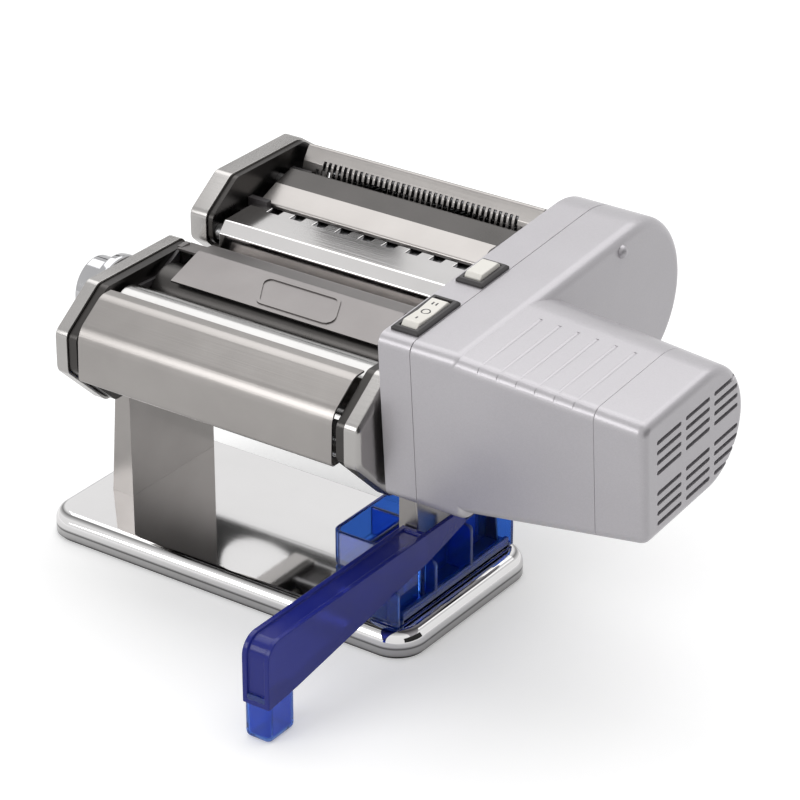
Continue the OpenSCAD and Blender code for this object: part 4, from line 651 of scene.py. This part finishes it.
bpy.ops.mesh.inset(thickness=GRIP_WALL * MM)
bpy.ops.mesh.extrude_region_move(TRANSFORM_OT_translate={"value": (GRIP_HOLLOW * MM, 0, 0)})
bpy.ops.object.mode_set(mode="OBJECT")
round_edges(knob, 1.3, 6, 32)
finish_piece(knob, "knob", "bright_cheek", "thickness_knob", look="chrome")
print("knob:", len(knob.data.polygons), "faces")

# %% [markdown]
# ## The motor housing
# The inner half of the housing only needs its edges rounded. The outer half is modelled
# again, because its big soft fillets shape most of what the eye sees there. It is built
# upright in its own frame and then tilted into place. A box gets a half round at its back,
# rounded front corners, and a fillet round its outer face. A small nub sits near its back.

# %% Both halves of the housing
CASE_T = 26.0
CASE_LEN = 175.0
CASE_H = 80.0
NOSE_R = 39.0
CASE_FILLET = 5.5
CASE_SEAM_EDGE = 0.45
NUB_RADIUS = 3.3
NUB_PLACE = (25.1, 124.5, -7.3)
SOFT_ANGLE = 35
dress("gear_case_inner", 0.5, 3)
case = block("motor_case", (0, 0, -CASE_H), (CASE_T, CASE_LEN, 0))
move_points(case, lambda p: p.y > CASE_LEN / 2 and p.z < -CASE_H / 2, (0, 0, CASE_H - 2 * NOSE_R))
fillet(case, lambda a, b: min(a.y, b.y) > CASE_LEN - 1 and abs(a.z - b.z) < 1, NOSE_R, 24)
fillet(case, lambda a, b: (max(a.y, b.y) < 1 and abs(a.z - b.z) < 1) or min(a.x, b.x) > CASE_T - 1,
       CASE_FILLET, 7)
fillet(case, lambda a, b: max(a.x, b.x) < ON_LINE, CASE_SEAM_EDGE, 2)
into_place(case)
round_edges(case, angle=SOFT_ANGLE)
finish_piece(case, "motor_unit", "silver_plastic", "gear_case_outer")

bpy.ops.mesh.primitive_uv_sphere_add(segments=32, ring_count=20, radius=NUB_RADIUS * MM,
                                     location=[v * MM for v in NUB_PLACE])
nub = bpy.context.active_object
nub.name = "case_dome"
bpy.ops.object.transform_apply(location=True)
into_place(nub)
round_edges(nub, angle=80)
finish_piece(nub, "motor_unit", "silver_plastic")
print("housing:", len(case.data.polygons), "faces")

# %% [markdown]
# ## The pod
# The pod starts as a cone lying on its side. Its front half is cut away, and its small end is
# moved a little forward and up. The open edge is then drawn forward to make the flat top,
# bottom and front, and fillets round the two long front edges and the end.

# %% Pod
POD_FROM = 21.0
POD_TO = 113.5
POD_FILLET = 5.5
POD_END_FILLET = 4.0
ROOT_R = 37.5
TIP_R = 28.2
ROOT_MID = (53.6, -38.5)
TIP_MID = (51.0, -33.8)


def pod_at(x, root, tip):
    """A value that runs evenly from the housing's face to the pod's end."""
    return root + (tip - root) * (x - CASE_T) / (POD_TO - CASE_T)


start_r = pod_at(POD_FROM, ROOT_R, TIP_R)
start_mid = [pod_at(POD_FROM, a, b) for a, b in zip(ROOT_MID, TIP_MID)]
bpy.ops.mesh.primitive_cone_add(vertices=96, radius1=start_r * MM, radius2=TIP_R * MM,
                                depth=(POD_TO - POD_FROM) * MM, rotation=(0, math.radians(90), 0),
                                location=((POD_FROM + POD_TO) / 2 * MM, start_mid[0] * MM, start_mid[1] * MM))
pod = bpy.context.active_object
bpy.ops.object.transform_apply(location=True, rotation=True)
edit_whole(pod)
bpy.ops.mesh.bisect(plane_co=(0, start_mid[0] * MM, 0), plane_no=(0, 1, 0), clear_inner=True, use_fill=False)
bpy.ops.object.mode_set(mode="OBJECT")
move_points(pod, lambda p: p.x > POD_TO - 10, (0, TIP_MID[0] - start_mid[0], TIP_MID[1] - start_mid[1]))
unmark(pod, "EDGE")
bpy.ops.object.mode_set(mode="EDIT")
bpy.ops.mesh.select_non_manifold()
bpy.ops.mesh.extrude_edges_move()
bpy.ops.transform.resize(value=(1, 0, 1), center_override=(0, 0, 0))
bpy.ops.mesh.edge_face_add()
bpy.ops.mesh.select_all(action="SELECT")
bpy.ops.mesh.remove_doubles(threshold=FILLET_WELD * MM)
bpy.ops.mesh.normals_make_consistent(inside=False)
bpy.ops.mesh.dissolve_limited(angle_limit=math.radians(0.2))
bpy.ops.object.mode_set(mode="OBJECT")
fillet(pod, lambda a, b: max(a.y, b.y) < NEAR and abs(a.x - b.x) > 50, POD_FILLET, 10)
fillet(pod, lambda a, b: min(a.x, b.x) > POD_TO - NEAR, POD_END_FILLET, 5)

# %% [markdown]
# ## Seam, grip grooves and vents
# The pod is split at a seam, and both new edges are softened so that the seam draws a fine
# line. Six grooves for the fingers run over the pod's top, each cut by one straight cylinder
# and one that slopes down over the front edge. The end cap has rows of vent slots in three
# columns, with a gap between the upper and the lower rows.

# %% Pod: seam, grip grooves and vents
POD_SEAM = 89.5
SEAM_EDGE = 0.3
TOP_AT_ROOT = -1.0
TOP_AT_TIP = -5.6
GROOVES = 6
GROOVE_FROM = 34.0
GROOVE_PITCH = 9.2
VENT_COLUMNS = 3
VENT_ROWS = 8
VENT_LENGTH = 19
VENT_HEIGHT = 2.0
VENT_FILLET = 0.95
cap = duplicate(pod, "pod_cap")
pod.name = "motor_pod"
for piece, keep_outer in ((pod, False), (cap, True)):
    edit_whole(piece)
    bpy.ops.mesh.bisect(plane_co=(POD_SEAM * MM, 0, 0), plane_no=(1, 0, 0), clear_inner=keep_outer,
                        clear_outer=not keep_outer, use_fill=True)
    bpy.ops.object.mode_set(mode="OBJECT")
    fillet(piece, lambda a, b: max(abs(a.x - POD_SEAM), abs(b.x - POD_SEAM)) < ON_LINE, SEAM_EDGE, 2)


def round_bar(x, y, z, radius, length, lean):
    """A cylinder that lies along Y and leans by an angle in degrees."""
    bpy.ops.mesh.primitive_cylinder_add(vertices=32, radius=radius * MM, depth=length * MM,
                                        rotation=(math.radians(lean), 0, 0),
                                        location=(x * MM, y * MM, z * MM))
    return bpy.context.active_object


grooves = []
for i in range(GROOVES):
    x = GROOVE_FROM + GROOVE_PITCH * i
    top = pod_at(x, TOP_AT_ROOT, TOP_AT_TIP)
    grooves.append(round_bar(x, 26, top + 1.3, 1.6, 44, 90))
    grooves.append(round_bar(x, 1.1, top - 1.1, 1.2, 14, -45))
cut(pod, join(grooves, "grooves"))

vents = []
for column in range(VENT_COLUMNS):
    for row in range(VENT_ROWS):
        y = 9.5 + 22.5 * column
        z = -16.0 - 4.75 * row - (5.0 if row >= VENT_ROWS / 2 else 0.0)
        vent = block("vent", (104, y, z - VENT_HEIGHT), (120, y + VENT_LENGTH, z))
        fillet(vent, lambda a, b: abs(a.x - b.x) > 5, VENT_FILLET, 4)
        vents.append(vent)
cut(cap, join(vents, "vents"))

for piece in (pod, cap):
    into_place(piece)
    round_edges(piece, angle=SOFT_ANGLE)
finish_piece(pod, "motor_unit", "silver_plastic")
finish_piece(cap, "motor_unit", "silver_plastic", "pod_end_cap")
print("pod:", len(pod.data.polygons), "cap:", len(cap.data.polygons))

# %% [markdown]
# ## Bezels
# Each key sits in a black bezel. The bezel's top edge slopes outwards, and its opening goes
# right through, so that the key can tilt or sink without touching it.

# %% Bezels
BEZEL_X = -7.3
BEZEL_HALF = 7
OPENING_HALF = 4.4
END_BAR = 2.3
ROCKER_Y = 23.0
PULSE_Y = 65.4


def key_bezel(name, node, middle, half_length):
    """A raised frame with a sloping top edge and an opening for its key."""
    outer = block(name, (BEZEL_X - BEZEL_HALF, middle - half_length, -5),
                  (BEZEL_X + BEZEL_HALF, middle + half_length, 2.0))
    fillet(outer, lambda a, b: min(a.z, b.z) > 2.0 - NEAR, 1.0, 1)
    fillet(outer, lambda a, b: abs(a.z - b.z) > 0.5, 0.5, 3)
    opening = block("opening", (BEZEL_X - OPENING_HALF, middle - half_length + END_BAR, -6),
                    (BEZEL_X + OPENING_HALF, middle + half_length - END_BAR, 4))
    cut(outer, opening)
    into_place(outer)
    round_edges(outer, 0.18)
    finish_piece(outer, "motor_unit", "black_plastic", node)


key_bezel("rocker_frame", "rocker_bezel", ROCKER_Y, 16.0)
key_bezel("pulse_frame", "pulse_bezel", PULSE_Y, 10.65)
print("bezels at Y:", ROCKER_Y, PULSE_Y)

# %% [markdown]
# ## Keys
# Both keys are cream blocks that stand proud of their bezels. Their ends slope, and the
# rocker's top dips towards its pivot.

# %% Key caps
KEY_HALF = 4.1
KEY_EDGE = 0.45
KEY_ANGLE = 25
ROCKER_HALF = 12.6
ROCKER_TOP = 3.4
PULSE_HALF = 7.8
PULSE_TOP = 4.0
rocker = block("rocker_cap", (BEZEL_X - KEY_HALF, ROCKER_Y - ROCKER_HALF, -3.2),
               (BEZEL_X + KEY_HALF, ROCKER_Y + ROCKER_HALF, ROCKER_TOP))
edit_whole(rocker)
bpy.ops.mesh.subdivide(number_cuts=1)
bpy.ops.object.mode_set(mode="OBJECT")
move_points(rocker, lambda p: p.z > ROCKER_TOP - NEAR and abs(p.y - ROCKER_Y) < 1, (0, 0, -0.9))
fillet(rocker, lambda a, b: min(a.z, b.z) > ROCKER_TOP - NEAR
       and min(abs(a.y - ROCKER_Y), abs(b.y - ROCKER_Y)) > 12, 2.2, 1)
into_place(rocker)
round_edges(rocker, KEY_EDGE, 3, KEY_ANGLE)
finish_piece(rocker, "rocker", "cream_plastic", "rocker_switch")

pulse = block("pulse_cap", (BEZEL_X - KEY_HALF, PULSE_Y - PULSE_HALF, -5.6),
              (BEZEL_X + KEY_HALF, PULSE_Y + PULSE_HALF, PULSE_TOP))
fillet(pulse, lambda a, b: min(a.z, b.z) > PULSE_TOP - NEAR and abs(a.y - b.y) < NEAR, 1.7, 1)
into_place(pulse)
round_edges(pulse, KEY_EDGE, 3, KEY_ANGLE)
finish_piece(pulse, "pulse", "cream_plastic", "pulse_button")
print("keys:", len(rocker.data.polygons) + len(pulse.data.polygons), "faces")

# %% [markdown]
# ## Marks
# Three small marks on the rocker show its positions: one stroke, a ring and two strokes. They
# are thin raised shapes that sink a little into the key, and they ride on it.

# %% Marks on the rocker
STROKE_HALF_WIDTH = 0.35
STROKE_HALF_LENGTH = 1.5
STROKE_SINK = 0.3
STROKE_RISE = 0.04


def stroke(x, y, z):
    """A thin stroke along the key."""
    return block("stroke", (x - STROKE_HALF_WIDTH, y - STROKE_HALF_LENGTH, z - STROKE_SINK),
                 (x + STROKE_HALF_WIDTH, y + STROKE_HALF_LENGTH, z + STROKE_RISE))


bpy.ops.mesh.primitive_torus_add(major_radius=1.9 * MM, minor_radius=0.36 * MM, major_segments=32,
                                 minor_segments=8, location=(BEZEL_X * MM, ROCKER_Y * MM, 2.38 * MM))
ring = bpy.context.active_object
bpy.ops.object.transform_apply(location=True)
marks = join([ring, stroke(BEZEL_X, 15.6, 3.0), stroke(BEZEL_X - 1.0, 30.3, 3.02),
              stroke(BEZEL_X + 1.0, 30.3, 3.02)], "rocker_marks")
into_place(marks)
round_edges(marks, angle=40)
finish_piece(marks, "rocker", "mark_ink")
print("marks:", len(marks.data.polygons), "faces")

# %% [markdown]
# ## The stabiliser's arm
# The stabiliser is a thin-walled moulding. Its arm is a long box that is shallower towards
# the machine, with a sunken strip along its top and front. A small plate behind it joins the
# arm to the tray.

# %% Arm
WALL_EDGE = 0.5
ARM_FRONT = -134.7
ARM_BACK = -18.6
ARM_TOP = 48
ARM_KNEE = -115
ARM_NOSE = 9.0
STRIP_BORDER = 2.6
STRIP_DEPTH = 1.2
arm = block("stabiliser_arm", (78, ARM_FRONT, 17), (92, ARM_BACK, ARM_TOP))
edit_whole(arm)
bpy.ops.mesh.bisect(plane_co=(0, ARM_KNEE * MM, 0), plane_no=(0, 1, 0))
bpy.ops.object.mode_set(mode="OBJECT")
move_points(arm, lambda p: p.z < 20 and abs(p.y - ARM_KNEE) < 1, (0, 0, 2))
move_points(arm, lambda p: p.z < 20 and p.y > ARM_BACK - 1, (0, 0, 16.5))
fillet(arm, lambda a, b: max(a.y, b.y) < ARM_FRONT + 0.7 and min(a.z, b.z) > ARM_TOP - 1, ARM_NOSE, 10)
select_faces(arm, lambda normal: normal.z > 0.5 or normal.y < -0.5)
bpy.ops.mesh.inset(thickness=STRIP_BORDER * MM, use_boundary=True, use_even_offset=True)
bpy.ops.mesh.extrude_region_shrink_fatten(TRANSFORM_OT_shrink_fatten={"value": -STRIP_DEPTH * MM})
bpy.ops.object.mode_set(mode="OBJECT")
plate = block("arm_plate", (89.6, -19.5, 33.4), (92, 10, ARM_TOP))
move_points(plate, lambda p: p.z < 40 and p.y > 0, (0, 0, 7))
fillet(plate, lambda a, b: min(a.y, b.y) > 9 and min(a.z, b.z) > ARM_TOP - 1, 6.0, 6)
for piece in (arm, plate):
    round_edges(piece, WALL_EDGE, 3)
    finish_piece(piece, "stabiliser", "blue_plastic", look="deep_blue")
print("arm:", len(arm.data.polygons) + len(plate.data.polygons), "faces")

# %% [markdown]
# ## The stabiliser's foot
# The foot is a small hollow box of its own under the arm's front end. Light passes its walls,
# which makes it the brightest blue of the whole machine.

# %% Foot
FOOT_FILLET = 3.0
FOOT_WALL = 1.8
foot = block("stabiliser_foot", (78.1, -134.6, 0.0), (91.9, -116.0, 22))
fillet(foot, lambda a, b: not (a.z > 20 and b.z > 20), FOOT_FILLET, 5)
activate(foot)
hollow = foot.modifiers.new("hollow", "SOLIDIFY")
hollow.thickness = FOOT_WALL * MM
hollow.offset = -1
bpy.ops.object.modifier_apply(modifier=hollow.name)
round_edges(foot, angle=SOFT_ANGLE)
finish_piece(foot, "stabiliser", "blue_plastic")
print("foot:", len(foot.data.polygons), "faces")

# %% [markdown]
# ## The stabiliser's tray
# The tray is a set of open compartments: a tongue that reaches into the right leg, a pocket
# under the arm's rear end, and ribs of several heights on one floor. All are joined together.

# %% Tray
TRAY_WALL = 2.0
RIB_THICKNESS = 2.2


def open_box(name, low, high, wall, corner):
    """An open box with rounded upright corners."""
    piece = block(name, low, high)
    fillet(piece, lambda a, b: abs(a.z - b.z) > 1, corner, 6)
    depth = high[2] - low[2] - wall
    select_faces(piece, lambda normal: normal.z > 0.9)
    bpy.ops.mesh.inset(thickness=wall * MM)
    bpy.ops.mesh.extrude_region_move(TRANSFORM_OT_translate={"value": (0, 0, -depth * MM)})
    bpy.ops.object.mode_set(mode="OBJECT")
    round_edges(piece, WALL_EDGE, 3)
    return piece


tongue = open_box("tray_tongue", (37.0, -16.2, 14.5), (79.0, 41.2, 31.0), TRAY_WALL, 5.0)
pocket = open_box("tray_pocket", (77.4, -45.0, 13.4), (89.0, -18.8, 31.0), TRAY_WALL, 3.0)
floor_plate = block("tray_floor", (79.0, -45.0, 13.3), (94.0, 46.0, 15.6))
fillet(floor_plate, lambda a, b: min(a.x, b.x) > 93 and abs(a.z - b.z) > 1, 4.0, 6)
lip = block("tray_lip", (91.8, -41.0, 13.3), (94.0, 42.0, 19.0))
ribs = [block("tray_rib", (39, 11.5, 15), (77, 13.5, 30.6)), block("tray_rib", (57, -15, 15), (59, 40, 30.6))]
for y, top in ((-45.0, 31.0), (-16.5, 33.0), (11.2, 38.0), (43.8, 31.0)):
    rib = block("tray_rib", (88.0 if y < 0 else 79.5, y, 13.4), (93.8, y + RIB_THICKNESS, top))
    fillet(rib, lambda a, b: min(a.x, b.x) > 93 and min(a.z, b.z) > 30, 2.5, 5)
    ribs.append(rib)
back_wall = block("tray_back", (79.4, -18.0, 14.5), (81.4, 45.0, 31.0))
for piece in [floor_plate, lip, back_wall] + ribs:
    round_edges(piece, WALL_EDGE, 3)
tray = join([tongue, pocket, floor_plate, lip, back_wall] + ribs, "stabiliser_tray")
finish_piece(tray, "stabiliser", "blue_plastic", "stabiliser")
print("tray:", len(tray.data.polygons), "faces")

# %% [markdown]
# ## The floor
# The floor is a plain pale sheet that also glows a little, so that it looks white and the
# machine's shadow still falls on it. It glows fully for the camera and through clear
# plastic, and half as much for every other ray, such as one that left a mirror. The glow
# grows with the distance from the machine, because the lamps reach less far.

# %% Floor
FLOOR_SIZE = 6.0
FLOOR_GLOW = 0.72
OTHER_RAYS = 0.5
GLOW_GROWS = (0.5, 1.6)
GLOW_SHADES = (0.45, 1.0)
bpy.ops.mesh.primitive_plane_add(size=FLOOR_SIZE, location=(0, 0, 0))
floor = bpy.context.active_object
floor.name = "floor"
paper = Finish("paper", Base_Color=(0.80, 0.80, 0.80, 1), Roughness=0.9, Specular_IOR_Level=0.0)
distance = paper.add("ShaderNodeVectorMath", {"operation": "LENGTH"}, {0: paper.point}, "Value")
paper.feed("Emission Color", paper.add("ShaderNodeMapRange", {}, {
    "Value": distance, "From Min": GLOW_GROWS[0], "From Max": GLOW_GROWS[1],
    "To Min": GLOW_SHADES[0], "To Max": GLOW_SHADES[1]}))
camera_ray = paper.add("ShaderNodeLightPath", {}, {}, "Is Camera Ray")
clear_ray = paper.add("ShaderNodeLightPath", {}, {}, "Is Transmission Ray")
paper.feed("Emission Strength", camera_ray.or_more(clear_ray).or_more(OTHER_RAYS) * FLOOR_GLOW)
floor.data.materials.append(paper.material)
print("floor:", FLOOR_SIZE, "m wide")

# %% [markdown]
# ## Light
# Most of the light comes from the white world itself. The camera and clear plastic see it
# white, mirrors see it nearly white, and matt surfaces get about half of it. One large soft
# panel above and a weaker one in front add soft shadows. Bright metal would look flat with
# only white around it, so two dark boards, to the right and behind, are there for mirrors only.
# The oval window in the back board gives the base its bright patch.

# %% World and lamps
MATT_LEVEL = 0.55
MIRROR_LEVEL = 0.90
SEEN_LEVEL = 1.0
LAMP_TARGET = (0.05, 0, 0.1)
WINDOW_SIZE = (0.038, 0.030, 1)
WINDOW_PLACE = (-0.322, 0.40, 0.343)
world = bpy.data.worlds.new("studio")
bpy.context.scene.world = world
world.use_nodes = True
tree = world.node_tree
background = tree.nodes["Background"]
rays = tree.nodes.new("ShaderNodeLightPath")
seen = tree.nodes.new("ShaderNodeMath")
seen.operation = "MAXIMUM"
tree.links.new(rays.outputs["Is Camera Ray"], seen.inputs[0])
tree.links.new(rays.outputs["Is Transmission Ray"], seen.inputs[1])

# A Mix node's socket 0 is the share, and its sockets 2 and 3 are the two levels.
mirror = tree.nodes.new("ShaderNodeMix")
mirror.inputs[2].default_value = MATT_LEVEL
mirror.inputs[3].default_value = MIRROR_LEVEL
tree.links.new(rays.outputs["Is Glossy Ray"], mirror.inputs[0])
level = tree.nodes.new("ShaderNodeMix")
level.inputs[3].default_value = SEEN_LEVEL
tree.links.new(seen.outputs[0], level.inputs[0])
tree.links.new(mirror.outputs[0], level.inputs[2])
tree.links.new(level.outputs[0], background.inputs["Strength"])
background.inputs["Color"].default_value = (1, 1, 1, 1)


def panel(name, place, size, power):
    """A soft rectangular lamp that looks at the machine."""
    lamp = bpy.data.lights.new(name, "AREA")
    lamp.shape = "RECTANGLE"
    lamp.size, lamp.size_y = size
    lamp.energy = power
    holder = bpy.data.objects.new(name, lamp)
    bpy.context.scene.collection.objects.link(holder)
    holder.location = place
    holder.rotation_mode = "QUATERNION"
    holder.rotation_quaternion = (Vector(LAMP_TARGET) - Vector(place)).to_track_quat("-Z", "Y")


panel("top_panel", (-0.1, 0.55, 1.45), (2.2, 1.5), 16)
panel("front_panel", (-0.55, -1.4, 0.8), (1.0, 0.7), 8)
card_black = Finish("card_black", Base_Color=(0.01, 0.01, 0.01, 1), Roughness=1.0)


def dark_card(name, low, high):
    """A black board that only mirrors can see, which gives metal its dark tones."""
    card = block(name, low, high)
    card.data.materials.append(card_black.material)
    card.visible_camera = False
    card.visible_diffuse = False
    card.visible_shadow = False
    card.visible_transmission = False
    return card


dark_card("right_card", (750, -450, 0), (752, 450, 500))
back = dark_card("back_card", (-442, 400, 307), (-225, 401, 356))
bpy.ops.mesh.primitive_cylinder_add(vertices=64, radius=1, depth=0.05, rotation=(math.radians(90), 0, 0))
window = bpy.context.active_object
window.scale = WINDOW_SIZE
window.location = WINDOW_PLACE
cut(back, window)
bpy.context.scene.view_settings.view_transform = "Standard"
print("studio ready")
